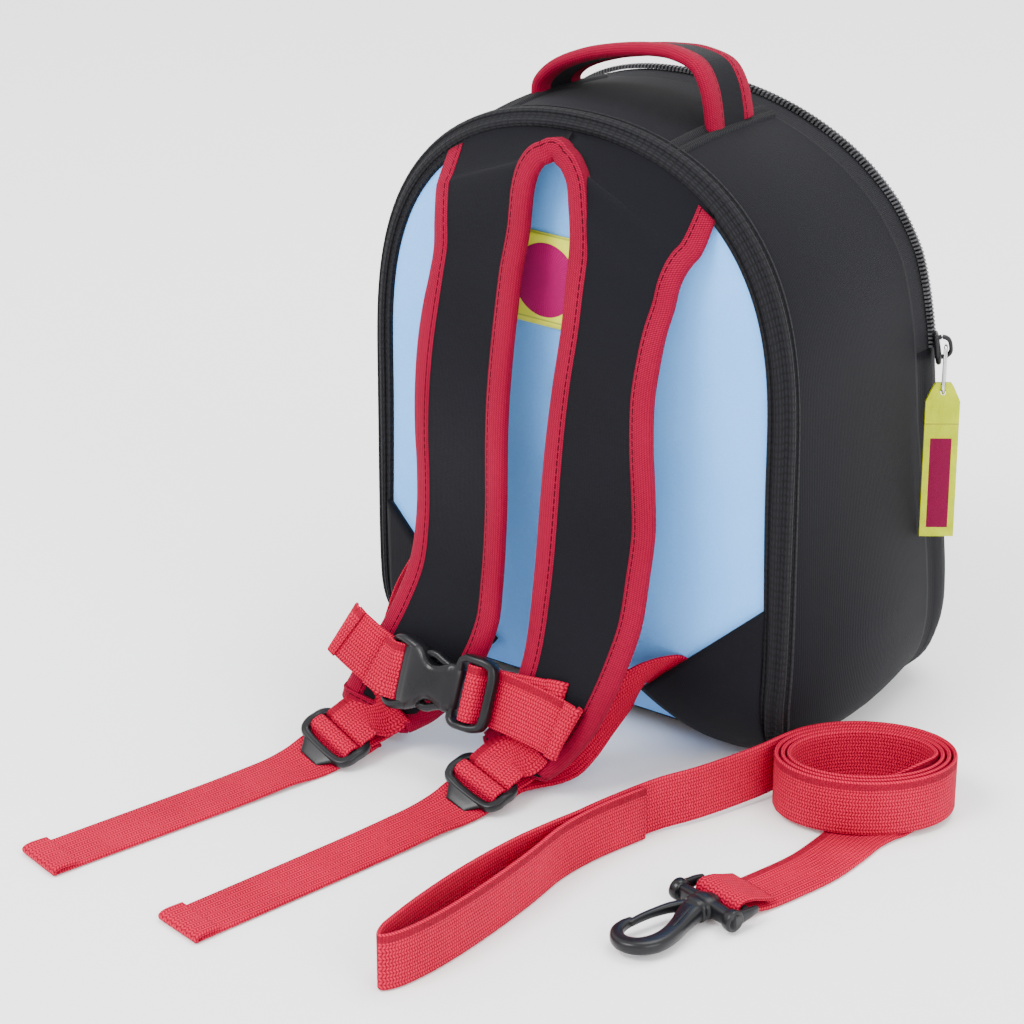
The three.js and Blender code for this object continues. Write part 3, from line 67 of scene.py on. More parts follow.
# Material helpers
class Nodes:
    """A material's nodes, with short names for what the surfaces need"""

    def __init__(self, name):
        self.mat = bpy.data.materials.new(name)
        self.mat.use_nodes = True
        self.tree = self.mat.node_tree
        self.shader = self.tree.nodes["Principled BSDF"]

    def add(self, kind, **settings):
        node = self.tree.nodes.new(kind)
        for key, value in settings.items():
            setattr(node, key, value)
        return node

    def link(self, a, b):
        self.tree.links.new(a, b)

    def put(self, value, socket):
        if hasattr(value, "links"):
            self.link(value, socket)
        else:
            socket.default_value = value

    def math(self, op, a, b=0.0):
        node = self.add("ShaderNodeMath", operation=op)
        self.put(a, node.inputs[0])
        self.put(b, node.inputs[1])
        return node.outputs[0]

    plus, minus = partialmethod(math, "ADD"), partialmethod(math, "SUBTRACT")
    times, over = partialmethod(math, "MULTIPLY"), partialmethod(math, "DIVIDE")
    power, larger = partialmethod(math, "POWER"), partialmethod(math, "MAXIMUM")
    below, above = partialmethod(math, "LESS_THAN"), partialmethod(math, "GREATER_THAN")
    size, sine = partialmethod(math, "ABSOLUTE"), partialmethod(math, "SINE")
    fract = partialmethod(math, "FRACT")

    def near(self, value, middle, half):
        """1 within half of the middle, and 0 beyond"""
        return self.below(self.size(self.minus(value, middle)), half)

    def ribs(self, value, pitch):
        """Round ribs, one for each pitch"""
        return self.size(self.sine(self.times(value, math.pi / pitch)))

    def uv(self):
        node = self.add("ShaderNodeUVMap", uv_map="mm")
        parts = self.add("ShaderNodeSeparateXYZ")
        self.link(node.outputs[0], parts.inputs[0])
        return parts.outputs[0], parts.outputs[1]

    def place(self):
        return self.add("ShaderNodeTexCoord").outputs["Object"]

    def reach(self, start, direction):
        """Distance from a start along a direction, in millimetres"""
        node = self.add("ShaderNodeVectorMath", operation="DOT_PRODUCT")
        self.link(self.place(), node.inputs[0])
        node.inputs[1].default_value = tuple(direction)
        return self.minus(self.times(node.outputs["Value"], 1 / MM), float(start @ direction))

    def noise(self, scale, detail=2.0):
        node = self.add("ShaderNodeTexNoise")
        self.link(self.place(), node.inputs["Vector"])
        node.inputs["Scale"].default_value = scale
        node.inputs["Detail"].default_value = detail
        return node.outputs["Fac"]

    def ramp(self, factor, stops):
        node = self.add("ShaderNodeValToRGB")
        while len(node.color_ramp.elements) < len(stops):
            node.color_ramp.elements.new(0.5)
        for element, (at, color) in zip(node.color_ramp.elements, stops):
            element.position, element.color = at, (*color, 1)
        self.link(factor, node.inputs[0])
        return node.outputs[0]

    def mix(self, factor, a, b):
        node = self.add("ShaderNodeMix", data_type="RGBA")
        self.put(factor, node.inputs[0])
        for value, socket in ((a, node.inputs[6]), (b, node.inputs[7])):
            self.put((*value, 1) if isinstance(value, tuple) else value, socket)
        return node.outputs[2]

    def color(self, value):
        self.link(value, self.shader.inputs["Base Color"])

    def bump(self, height, strength, distance):
        node = self.add("ShaderNodeBump")
        self.link(height, node.inputs["Height"])
        node.inputs["Strength"].default_value = strength
        node.inputs["Distance"].default_value = distance * MM
        self.link(node.outputs[0], self.shader.inputs["Normal"])

    def set(self, **values):
        for key, value in values.items():
            self.shader.inputs[key.replace("_", " ")].default_value = value
        return self.mat


def jersey(name, dark, light, sheen, rough):
    """Foam cloth with a fine knitted face"""
    n = Nodes(name)
    u, v = n.uv()
    rows = n.sine(n.times(v, 2 * math.pi))
    loops = n.sine(n.times(u, 2.6 * math.pi))
    knitted = n.plus(n.times(rows, 0.25), n.times(loops, 0.25))
    soft, large = n.noise(900, 2), n.noise(14, 3)
    shade = n.plus(n.times(large, 0.7), n.times(soft, 0.4))
    n.color(n.ramp(shade, [(0.3, dark), (0.8, light)]))
    n.bump(n.plus(knitted, soft), 0.35, 0.25)
    return n.set(Roughness=rough, Sheen_Weight=sheen, Sheen_Roughness=0.5, Specular_IOR_Level=0.15)


def woven(name, colors, pitch=(1.6, 1.25), depth=0.5, stitch=(), slant=0.0, chevron=0.75):
    """Webbing or tape: ribs in staggered rows, with painted shade in the grooves between them and lighter rib
    tops; stitch holds a sewn line's place and half width
    """
    dark, mid, light = colors
    n = Nodes(name)
    u, v = n.uv()
    across = n.over(u, pitch[0])
    fold = n.size(n.minus(n.times(n.fract(n.times(across, 0.5)), 2.0), 1.0))
    zigzag = n.plus(n.times(fold, chevron), n.times(u, slant))
    rib_u, rib_v = n.ribs(u, pitch[0]), n.ribs(n.plus(v, zigzag), pitch[1])
    height = n.times(n.power(rib_u, 0.4), n.power(rib_v, 0.7))
    fuzz, large = n.noise(700, 3), n.noise(30, 2)
    # Painted shade: the colour follows the rib height, so the grooves go dark and the rib tops light; the fuzz
    # and large noise add the cloth's own uneven tone
    tone = n.plus(n.times(height, 0.62), n.times(n.plus(fuzz, large), 0.2))
    color = n.ramp(tone, [(0.12, dark), (0.5, mid), (0.95, light)])
    total = n.plus(height, n.times(fuzz, 0.3))
    if stitch:
        sewn = n.near(u, *stitch)
        dash = n.below(n.fract(n.over(v, 3.4)), 0.72)
        color = n.mix(n.times(sewn, dash), color, tuple(c * 0.7 for c in dark))
        total = n.minus(total, n.times(sewn, 0.8))
    n.color(color)
    n.bump(total, 0.8, depth)
    return n.set(Roughness=0.75, Sheen_Weight=0.01, Sheen_Roughness=0.45, Specular_IOR_Level=0.08)


def moulded(name, dark, light):
    n = Nodes(name)
    large, fine = n.noise(60, 3), n.noise(1500, 2)
    n.color(n.ramp(large, [(0.3, dark), (0.75, light)]))
    n.link(n.plus(n.times(large, 0.25), 0.18), n.shader.inputs["Roughness"])
    n.bump(n.plus(fine, large), 0.12, 0.12)
    return n.set(Specular_IOR_Level=0.24)


def metal(name, color, rough):
    n = Nodes(name)
    scratch = n.noise(400, 4)
    n.color(n.ramp(scratch, [(0.3, tuple(c * 0.75 for c in color)), (0.7, color)]))
    n.bump(scratch, 0.1, 0.05)
    return n.set(Roughness=rough, Metallic=1.0)


def ladder_stitched(name, dark, light, rung_pitch=1.25, column_pitch=3.3):
    """Black seam cloth with the rungs of its stitches"""
    n = Nodes(name)
    u, v = n.uv()
    ladder = n.times(n.power(n.ribs(v, rung_pitch), 0.7), n.power(n.ribs(u, column_pitch), 0.5))
    n.color(n.ramp(ladder, [(0.2, dark), (0.9, light)]))
    n.bump(n.plus(ladder, n.times(n.noise(900, 2), 0.4)), 0.9, 0.5)
    return n.set(Roughness=0.75, Sheen_Weight=0.01, Specular_IOR_Level=0.2)


def label_cloth(name, width, length):
    """Yellow woven label with a line sewn inside its edge"""
    n = Nodes(name)
    u, v = n.uv()
    edge = n.larger(n.size(n.minus(u, width / 2)), n.size(n.minus(v, length / 2)))
    rim = n.times(n.above(edge, 18.2), n.below(edge, 18.9))
    weave = n.times(n.sine(n.times(u, 9.0)), n.sine(n.times(v, 7.0)))
    tone = n.plus(n.times(weave, 0.15), n.noise(120, 3))
    base = n.ramp(tone, [(0.2, (0.62, 0.68, 0.008)), (0.8, (0.85, 0.9, 0.02))])
    n.color(n.mix(rim, base, (0.4, 0.46, 0.03)))
    n.bump(n.minus(weave, rim), 0.4, 0.2)
    return n.set(Roughness=0.7, Sheen_Weight=0.2)


def tag_cloth(name, top, down, face):
    """Yellow tag with a plain magenta rectangle on its face and a line sewn under its point"""
    n = Nodes(name)
    across, below, outward = (n.reach(top, way) for way in (unit(np.cross(face, down)), down, face))
    rectangle = n.times(n.times(n.near(across, 0.0, 4.7), n.near(below, 41.0, 20.5)), n.above(outward, 0.0))
    weave = n.times(n.sine(n.times(across, 8.0)), n.sine(n.times(below, 6.0)))
    sewn = n.near(below, 14.0, 0.35)
    tone = n.plus(n.times(weave, 0.12), n.noise(130, 3))
    base = n.ramp(tone, [(0.2, (0.34, 0.4, 0.001)), (0.8, (0.5, 0.57, 0.003))])
    base = n.mix(sewn, base, (0.3, 0.32, 0.02))
    n.color(n.mix(rectangle, base, (0.15, 0.0, 0.03)))
    n.bump(n.minus(weave, n.times(sewn, 2.0)), 0.4, 0.2)
    return n.set(Roughness=0.65, Specular_IOR_Level=0.12)


# Woven colours run dark, mid, light: the dark one is painted shade in the grooves between ribs, the light one
# the rib tops
red = woven("red webbing", ((0.03, 0.0, 0.003), (0.36, 0.0, 0.022), (0.66, 0.0005, 0.052)))
tape_red = woven("red binding", ((0.05, 0.0, 0.004), (0.2, 0.0, 0.018), (0.34, 0.001, 0.036)),
                 (1.1, 0.95), 0.28, stitch=(2.2, 0.3), slant=0.7, chevron=0.0)
black = jersey("black foam cloth", (0.0008, 0.0008, 0.0022), (0.002, 0.002, 0.0048), sheen=0.02, rough=0.8)
blue = jersey("blue foam cloth", (0.13, 0.4, 0.93), (0.19, 0.49, 1.0), sheen=0.01, rough=0.85)
seam_black = ladder_stitched("black seam cloth", (0.0012, 0.0012, 0.002), (0.006, 0.006, 0.009))
plastic = moulded("black plastic", (0.004, 0.004, 0.005), (0.009, 0.009, 0.011))
tooth = moulded("zip teeth", (0.012, 0.012, 0.013), (0.045, 0.045, 0.05))
tape_black = woven("zip tape", ((0.004, 0.004, 0.005), (0.012, 0.012, 0.014), (0.026, 0.026, 0.03)),
                   (0.8, 0.8), 0.2)
magenta = woven("magenta weave", ((0.2, 0.0, 0.05), (0.32, 0.001, 0.09), (0.42, 0.006, 0.14)),
                (0.7, 0.7), 0.12)
wire = metal("bright wire", (0.62, 0.62, 0.64), 0.25)


# Geometry helpers: everything is worked out in millimetres
def catmull(points, counts):
    """Centripetal curve through the points, with counts samples on each span"""
    pts = np.asarray(points, float)
    out = []
    for i in range(len(pts) - 1):
        p1, p2 = pts[i], pts[i + 1]
        p0 = pts[i - 1] if i else 2 * p1 - p2
        p3 = pts[i + 2] if i + 2 < len(pts) else 2 * p2 - p1
        d = [max(float(((a - b) ** 2).sum()), 1e-12) ** 0.25 for a, b in ((p0, p1), (p1, p2), (p2, p3))]
        d1 = d[1] if d[1] > 1e-4 else 1.0
        d0, d2 = (x if x > 1e-4 else d1 for x in (d[0], d[2]))
        t1 = ((p1 - p0) / d0 - (p2 - p0) / (d0 + d1) + (p2 - p1) / d1) * d1
        t2 = ((p2 - p1) / d1 - (p3 - p1) / (d1 + d2) + (p3 - p2) / d2) * d1
        last = i == len(pts) - 2
        for k in range(counts + (1 if last else 0)):
            t = k / counts
            bend, twist = -3 * p1 + 3 * p2 - 2 * t1 - t2, 2 * p1 - 2 * p2 + t1 + t2
            out.append(p1 + t1 * t + bend * t * t + twist * t ** 3)
    return np.array(out)


def add_piece(name, points, faces, uvs, material, node=(), body="bag", slot=None):
    name = name.replace(" ", "_")
    mesh = bpy.data.meshes.new(name)
    mesh.from_pydata([tuple(p) for p in np.asarray(points) * MM], [], faces)
    layer = mesh.uv_layers.new(name="mm")
    for loop in mesh.loops:
        layer.data[loop.index].uv = uvs[loop.vertex_index]
    for poly in mesh.polygons:
        poly.use_smooth = True
    mesh.materials.append(material)
    obj = bpy.data.objects.new(name, mesh)
    bpy.context.collection.objects.link(obj)
    finish_normals(obj)
    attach(obj, body)
    if node:
        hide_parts(*([node] if isinstance(node, str) else node))
    return obj


def finish_normals(obj, merge=0.0):
    bm = bmesh.new()
    bm.from_mesh(obj.data)
    if merge:
        bmesh.ops.remove_doubles(bm, verts=bm.verts, dist=merge * MM)
    bmesh.ops.recalc_face_normals(bm, faces=bm.faces)
    bm.to_mesh(obj.data)
    bm.free()


def grid_parts(rows, around=False, loop=False, caps=False):
    """Points, faces and texture places of a surface through rows of points"""
    rows = np.asarray(rows, float)
    count, size = rows.shape[:2]
    flat = rows.reshape(-1, 3)
    step_u = np.linalg.norm(np.diff(rows, axis=1), axis=2).mean(axis=0)
    step_v = np.linalg.norm(np.diff(rows, axis=0), axis=2).mean(axis=1)
    u, v = np.concatenate([[0], np.cumsum(step_u)]), np.concatenate([[0], np.cumsum(step_v)])
    uvs = [(u[j], v[i]) for i in range(count) for j in range(size)]
    faces = []
    for i in range(count if loop else count - 1):
        a, b = i * size, ((i + 1) % count) * size
        for j in range(size if around else size - 1):
            k = (j + 1) % size
            faces.append((a + j, a + k, b + k, b + j))
    if caps:
        faces.append(tuple(range(size)))
        faces.append(tuple(range((count - 1) * size, count * size)))
    return flat, faces, uvs


def grid(name, rows, material, around=False, loop=False, caps=False, **facts):
    """A surface through rows of points: around closes each row, loop joins the last row to the first"""
    return add_piece(name, *grid_parts(rows, around, loop, caps), material, **facts)


def strip_rows(places, widths, section, square=True):
    """Sections swept along places: widths give the width direction at each place"""
    tangent = unit(np.gradient(places, axis=0))
    w = unit(np.asarray(widths, float))
    if square:
        w = unit(w - tangent * (w * tangent).sum(axis=1, keepdims=True))
    n = unit(np.cross(tangent, w))
    return [[p + wi * a + ni * b for a, b in section] for p, wi, ni in zip(places, w, n)]


def flat_section(width, thickness, steps=8):
    """Rounded flat section of webbing"""
    half, r = width / 2, thickness / 2
    edge = [(half - r + r * math.cos(a), r * math.sin(a)) for a in np.linspace(-math.pi / 2, math.pi / 2, 5)]
    across = np.linspace(half - r, -half + r, steps + 1)[1:-1]
    other = [(-x, -y) for x, y in edge]
    return edge + [(x, r) for x in across] + other + [(-x, -r) for x in across]


def webbing(name, stations, width, thickness, node, per=5, square=True):
    places, widths = (catmull([s[i] for s in stations], per) for i in (0, 1))
    rows = strip_rows(places, widths, flat_section(width, thickness), square)
    return grid(name, rows, red, around=True, caps=True, node=node, slot="webbing")


# The bag's outline and skin, with the same sizes as the solids
half_width, height, back_set, depth = 104.5, 280.0, 52.0, 113.0
side_bulge, back_bulge, dome = 9.0, 9.0, 14.0
back_foot, front_foot, seam_foot = 45.0, 15.0, 5.0
arch_centre, power_across, power_up, power_foot = height * 0.535, 2.2, 2.8, 8.0
tape_width = 24.0
depth_rows = [(0, 1.04), (0.1, 1.06), (0.2, 1.05), (0.35, 1.02), (0.5, 0.985), (0.64, 0.965), (0.75, 0.93),
              (0.83, 0.87), (0.9, 0.8), (0.96, 0.73), (1, 0.68)]
flare_rows = [(0, 1.09), (0.14, 1.085), (0.25, 1.065), (0.45, 1.02), (0.65, 0.99), (1, 0.985)]
bulge_rows = [(0, 0), (0.02, 0.5), (0.08, 1), (0.2, 1.1), (0.35, 0.8), (0.6, 0.35), (1, 0.25)]
read = lambda rows, at: float(np.interp(at, [r[0] for r in rows], [r[1] for r in rows]))


def arch_x(z):
    upper = z > arch_centre
    reach = (z - arch_centre) / (height - arch_centre) if upper else (arch_centre - z) / arch_centre
    up, across = (power_up, power_across) if upper else (power_foot, power_foot)
    return half_width * (1 - min(1, reach) ** up) ** (1 / across)


def arch_z(x):
    share = min(1, abs(x) / half_width)
    return arch_centre + (height - arch_centre) * (1 - share ** power_across) ** (1 / power_up)


def arch_outline(steps):
    dense = []
    for angle in np.linspace(0, math.pi / 2, 241)[:-1]:
        dense.append((half_width * math.sin(angle) ** (2 / power_foot),
                      arch_centre * (1 - math.cos(angle) ** (2 / power_foot))))
    for angle in np.linspace(0, math.pi / 2, 241):
        dense.append((half_width * max(0, math.cos(angle)) ** (2 / power_across),
                      arch_centre + (height - arch_centre) * math.sin(angle) ** (2 / power_up)))
    dense = np.array(dense)
    s = np.concatenate([[0], np.cumsum(np.linalg.norm(np.diff(dense, axis=0), axis=1))])
    at = np.linspace(0, s[-1], steps // 2 + 1)
    half = np.stack([np.interp(at, s, dense[:, 0]), np.interp(at, s, dense[:, 1])], 1)
    return np.concatenate([half, half[1:-1][::-1] * V(-1, 1)])


OUT = 176
outline = arch_outline(OUT)
foot_wrap = lambda z, r: r - math.sqrt(max(0, r * r - (r - z) ** 2)) if z < r else 0.0


def back_point(x, z, q):
    return V(x, -back_set + foot_wrap(z, back_foot) - back_bulge * (1 - (1 - q) ** 2), z)


def seam_share(x, z):
    low, high = 0.0, 1.0
    for _ in range(22):
        mid = (low + high) / 2
        px, pz = x / (1 - mid), arch_centre + (z - arch_centre) / (1 - mid)
        if 0 < pz < height and abs(px) < arch_x(pz):
            low = mid
        else:
            high = mid
    return low


back_face = lambda x, z: back_point(x, z, seam_share(x, z))


def back_ring(q):
    ring = []
    for x, z0 in outline:
        z = max(z0, seam_foot)
        ring.append(back_point(x * (1 - q), arch_centre + (z - arch_centre) * (1 - q), q))
    return np.array(ring)


def front_place(x, z, along, inset):
    high = z / height
    top = 0.985 if z > arch_centre else 1
    fz = arch_centre + (z - arch_centre) * top * (1 - inset)
    inward = min(1, inset / 0.3)
    y = -back_set + depth * read(depth_rows, high + (fz / height - high) * inward) + along
    y -= foot_wrap(max(0, fz), front_foot)
    return V(x * read(flare_rows, high) * (1 - inset), y, max(0, fz))


def gusset_ring(s):
    base = back_ring(0)
    ring = []
    for i, (x, z) in enumerate(outline):
        p = base[i] + (front_place(x, z, 0, 0) - base[i]) * s
        before, after = outline[i - 1], outline[(i + 1) % OUT]
        out = unit(V(after[1] - before[1], 0, before[0] - after[0]))
        p = p + out * side_bulge * read(bulge_rows, z / height) * math.sin(math.pi * s ** 0.85)
        p[2] = seam_foot * max(0, 1 - s / 0.3) if z < 1 else max(0, p[2])
        ring.append(p)
    return np.array(ring)


front_ring = lambda tape, rise, inset: np.array([front_place(x, z, tape_width * tape + dome * rise, inset)
                                                 for x, z in outline])
back_rings = [back_ring(q) for q in (0.97, 0.8, 0.6, 0.42, 0.28, 0.17, 0.1, 0.055, 0.025, 0.0)]
gusset_rings = [gusset_ring(s) for s in (0.0, 0.04, 0.12, 0.22, 0.34, 0.46, 0.58, 0.7, 0.82, 0.92, 0.98, 1.0)]
front_rows = [(0, 0, 0), (0.03, 0, 0.006), (0.25, 0, -0.003), (0.5, 0, -0.004), (0.75, 0, 0.01), (0.9, 0, 0.03),
              (1, 0.2, 0.065), (1, 0.4, 0.1), (1, 0.6, 0.155), (1, 0.78, 0.23), (1, 0.9, 0.36), (1, 0.97, 0.55),
              (1, 1, 0.8), (1, 1, 0.93), (1, 1, 0.998)]
front_rings = [front_ring(*row) for row in front_rows]


def close_ring(rows):
    """Repeats each row's first point, so that the texture places run on round the bag"""
    rows = np.asarray(rows)
    return np.concatenate([rows, rows[:, :1]], axis=1)


def skin(name, rings, material, node, keep=None, slot="black cloth"):
    """A cloth skin over rings of the bag; keep names the first and last step of a strip"""
    rows = close_ring(rings)
    if keep is not None:
        rows = rows[:, keep[0]:keep[1] + 1]
    obj = grid(name, rows, material, node=node, slot=slot)
    if keep is None:
        finish_normals(obj, merge=0.3)
    solid = obj.modifiers.new("wall", "SOLIDIFY")
    solid.thickness, solid.offset = skin_wall * MM, -1


skin_wall, zip_low, tape_stop = 2.0, 166.0, 5
zip_first = int(np.argmin([abs(z - zip_low) + (200 if x < 0 else 0) for x, z in outline]))
skin("back cloth", back_rings, blue, "back_panel", slot="blue cloth")
skin("gusset cloth", gusset_rings, black, ("gusset_top", "gusset_side"))
skin("front cloth", front_rings[tape_stop:], black, "front_panel")
tape_rings = front_rings[:tape_stop + 1]
skin("zip tape cloth", tape_rings, tape_black, "zip_tape", keep=(zip_first, OUT - zip_first))
skin("front side cloth", tape_rings, black, (), keep=(0, zip_first))
skin("front side cloth left", tape_rings, black, (), keep=(OUT - zip_first, OUT))


# Piping over the back seam: ridges with grooves between, as rows [from the seam, normal, height]
seam_line = back_ring(0)
near_back = back_ring(0.05)
near_side = gusset_ring(0.06)
to_back, to_side = unit(near_back - seam_line), unit(near_side - seam_line)
tangent = unit(np.roll(seam_line, -1, 0) - np.roll(seam_line, 1, 0))
n_back, n_side = unit(np.cross(to_back, tangent)), unit(np.cross(tangent, to_side))
centre = seam_line.mean(axis=0)
n_back *= np.sign((n_back * V(0, -1, 0)).sum(1, keepdims=True))
n_side *= np.sign((n_side * (seam_line - centre)).sum(1, keepdims=True))
n_mid = unit(n_back + n_side)
rows = []
for p, tb, ts, nb, ns, nm in zip(seam_line, to_back, to_side, n_back, n_side, n_mid):
    sink = 0.3 if p[2] < seam_foot + 1 else 1.0
    on_back = [(8.4, nb, -0.3), (7.9, nb, 1.4), (6.6, nb, 2.0), (5.4, nb, 0.8), (4.2, nb, 2.3), (2.2, nb, 2.6),
               (0.9, nm, 0.9)]
    on_side = [(0.5, nm, 0.6), (1.6, nm, 2.3), (3.4, ns, 2.4), (4.8, ns, 0.8), (6.0, ns, 2.0), (7.7, ns, 1.2),
               (8.4, ns, -0.4)]
    profile = [p + (way * a + n * h) * sink for way, part in ((tb, on_back), (ts, on_side)) for a, n, h in part]
    rows.append(catmull(profile, 3))
grid("back seam piping", close_ring(np.swapaxes(rows, 0, 1)), seam_black, node="back_seam", slot="black cloth")


# Zip: two rows of teeth along the tape
mid_ring = np.array([front_place(x, z, tape_width * 0.5, -0.004) for x, z in outline])
rear_ring, fore_ring = front_rings[2], front_rings[4]
line, across, outward = [], [], []
for k in range(zip_first, OUT - zip_first + 1):
    p, t = mid_ring[k], mid_ring[k + 1] - mid_ring[k - 1]
    a = unit(fore_ring[k] - rear_ring[k])
    n = unit(np.cross(unit(t), a))
    line.append(p)
    across.append(a)
    outward.append(n * np.sign(n @ (p - V(0, p[1], arch_centre))))
line, across, outward = map(np.array, (line, across, outward))
s = np.concatenate([[0], np.cumsum(np.linalg.norm(np.diff(line, axis=0), axis=1))])
points, faces, uvs = [], [], []
pitch = 1.9
for i, at in enumerate(np.arange(1, s[-1] - 1, pitch / 2)):
    p, a, n = (np.array([np.interp(at, s, arr[:, c]) for c in range(3)]) for arr in (line, across, outward))
    q = np.array([np.interp(at + 0.5, s, line[:, c]) for c in range(3)])
    t = unit(q - p)
    side = 1 if i % 2 else -1
    base = len(points)
    for du, dt, dn in ((-0.7, -0.62, 0.3), (3.0, -0.55, 0.3), (3.0, 0.55, 0.3), (-0.7, 0.62, 0.3),
                       (-0.4, -0.5, 2.4), (2.5, -0.4, 1.9), (2.5, 0.4, 1.9), (-0.4, 0.5, 2.4)):
        points.append(p + a * side * du + t * dt + n * dn)
        uvs.append((du, at))
    for f in ((0, 1, 2, 3), (4, 5, 6, 7), (0, 1, 5, 4), (1, 2, 6, 5), (2, 3, 7, 6), (3, 0, 4, 7)):
        faces.append(tuple(base + j for j in f))
teeth = add_piece("zip teeth rows", points, faces, uvs, tooth, node="zip_chain", slot="zip teeth")
for poly in teeth.data.polygons:
    poly.use_smooth = False


# Corner patches, label and disc, laid over the back cloth
def back_cover(name, place, rows_count, columns, lift, thickness, material, node, slot):
    outer = []
    for i in range(rows_count + 1):
        row = []
        for j in range(columns + 1):
            x, z = place(i / rows_count, j / columns)
            p = back_face(x, z)
            n = unit(np.cross(back_face(x + 0.5, z) - p, back_face(x, z + 0.5) - p))
            row.append(p + n * (lift + thickness) * (1 if n[1] < 0 else -1))
        outer.append(row)
    obj = grid(name, outer, material, node=node, slot=slot)
    solid = obj.modifiers.new("cloth", "SOLIDIFY")
    solid.thickness, solid.offset = (thickness + lift) * MM, -1
    return obj


def quad_place(side, corners):
    top, tip, foot, heel = [V(*c) for c in corners]

    def place(u, t):
        x, z = (top + (tip - top) * u) * (1 - t) + (heel + (foot - heel) * u) * t
        return side * x * half_width, z * height
    return place


corners = [(0.945, 0.305), (0.375, 0.115), (0.66, 0.02), (0.93, 0.06)]
for word, side in SIDES:
    back_cover("corner cloth " + word, quad_place(side, corners), 24, 16, 1.2, 1.9, black,
               "corner_patch_" + word, "black cloth")

label_width, label_length, disc_radius = 42, 40, 16
label_mid = V(-0.095 * half_width, 0.752 * height)
label_place = lambda up, over: label_mid + V((over - 0.5) * label_width, (up - 0.5) * label_length)
back_cover("label cloth", label_place, 16, 16, 0.3, 0.9, label_cloth("woven label", 40, 42), "label", "label")
disc_rows = []
for r in np.linspace(0.02, disc_radius, 8):
    lift = -1.65 if r < disc_radius - 0.5 else -1.35
    around = np.linspace(0, 2 * math.pi, 49)
    disc_rows.append([back_face(label_mid[0] + r * math.cos(a), label_mid[1] + r * math.sin(a)) + V(0, lift, 0)
                      for a in around])
grid("label disc cloth", disc_rows, magenta, node="label_disc", slot="disc")


# Cross seams beside the handle
cross_seam_across = 45.0
seam_profile = [(-4.6, -0.6), (-3.8, 1.2), (-2.2, 1.9), (-0.5, 0.6),
                (0.5, 0.6), (2.2, 1.9), (3.8, 1.2), (4.6, -0.6)]
seam_step = int(np.argmin([abs(x - cross_seam_across) + (500 if z < arch_centre or x < 0 else 0)
                           for x, z in outline]))
for word, side in SIDES:
    k = seam_step if side > 0 else OUT - seam_step
    line = catmull([ring[k] for ring in gusset_rings[1:]], 3)
    t = unit(np.gradient(line, axis=0))
    w = unit(np.cross(t, unit(V(side * 0.35, 0, 1))))
    n = unit(np.cross(w, t))
    n *= np.where(n[:, 2:] > 0, 1, -1)
    rows = [[p + wi * a + ni * b for a, b in seam_profile] for p, wi, ni in zip(line, w, n)]
    grid("cross seam cloth " + word, rows, seam_black, node="cross_seam_" + word, slot="black cloth")


# Handle: rows [share of the half span, share of the rise]
span, rise, foot = 47.0, 23.5, arch_z(47.0) + 6
handle_width, handle_thickness, handle_tape_at = 32, 5, 15
handle_rows = [(-0.932, -0.14), (-0.918, 0.08), (-0.77, 0.38), (-0.45, 0.68), (-0.1, 0.87), (0.25, 0.985),
               (0.5, 1), (0.75, 0.86), (0.86, 0.54), (0.918, 0.08), (0.932, -0.14)]
places = catmull([(a * span, -4, foot + r * rise) for a, r in handle_rows], 8)
roll = np.radians(13) * np.sin(math.pi * np.linspace(0, 1, len(places)))
widths = np.stack([roll * 0, np.cos(roll), -np.sin(roll)], 1)


def pad_section(width, thickness, steps=14):
    """A padded strip's section: full in the middle and thin at its edges"""
    top = []
    for s in np.linspace(-1, 1, steps):
        top.append((s * width / 2, thickness / 2 * (1 - abs(s) ** 6) ** 0.5))
    return top + [(a, -b) for a, b in top[::-1][1:-1]]


handle_section = pad_section(handle_width, handle_thickness)
obj = grid("handle pad", strip_rows(places, widths, handle_section), black, around=True, caps=True,
           node="handle", slot="black cloth")
bead = [(-7.6, 2.6), (-6.9, 3.3), (-4.6, 3.6), (-2, 3.5), (0.3, 2.9), (1.6, 1.7), (2.1, 0), (1.6, -1.7),
        (0.3, -2.9), (-2, -3.5), (-4.6, -3.6), (-6.9, -3.3), (-7.6, -2.6)]
normal = unit(np.cross(unit(np.gradient(places, axis=0)), widths))
normal *= np.where(normal[:, 2:] > 0, 1, -1)
for word, side in (("near", -1), ("far", 1)):
    rows = [[p + w * side * (handle_tape_at + a) + n * b * 0.82 for a, b in bead]
            for p, w, n in zip(places, widths, normal)]
    grid("handle tape " + word, rows, tape_red, caps=True, around=True, node="handle_binding_" + word,
         slot="webbing")


# Shoulder straps: rows [inner across, out, up, outer across, out, up] as shares of the bag's sizes
reach, sink = 72.0, 2.0
yoke_rows = [
    (0, 0.1, 0.966, 0.6, 0.1, 0.9), (0, 0.235, 0.957, 0.598, 0.15, 0.878),
    (0.05, 0.26, 0.948, 0.592, 0.18, 0.862), (0.086, 0.27, 0.928, 0.58, 0.215, 0.844),
    (0.104, 0.285, 0.895, 0.568, 0.25, 0.814),
    (0.116, 0.295, 0.84, 0.56, 0.275, 0.775), (0.124, 0.345, 0.785, 0.555, 0.335, 0.735),
    (0.127, 0.396, 0.714, 0.555, 0.39, 0.7), (0.122, 0.455, 0.643, 0.555, 0.45, 0.643),
    (0.116, 0.505, 0.571, 0.562, 0.47, 0.571), (0.108, 0.535, 0.5, 0.57, 0.46, 0.5),
    (0.1, 0.555, 0.429, 0.57, 0.445, 0.429), (0.096, 0.58, 0.357, 0.56, 0.475, 0.357)]
yoke_right = [row[:3] + outer for row, outer in zip(yoke_rows, [
    (0.654, 0.1, 0.866), (0.626, 0.15, 0.85), (0.603, 0.18, 0.836), (0.587, 0.215, 0.822), (0.573, 0.25, 0.8),
    (0.562, 0.275, 0.768)])] + yoke_rows[6:]
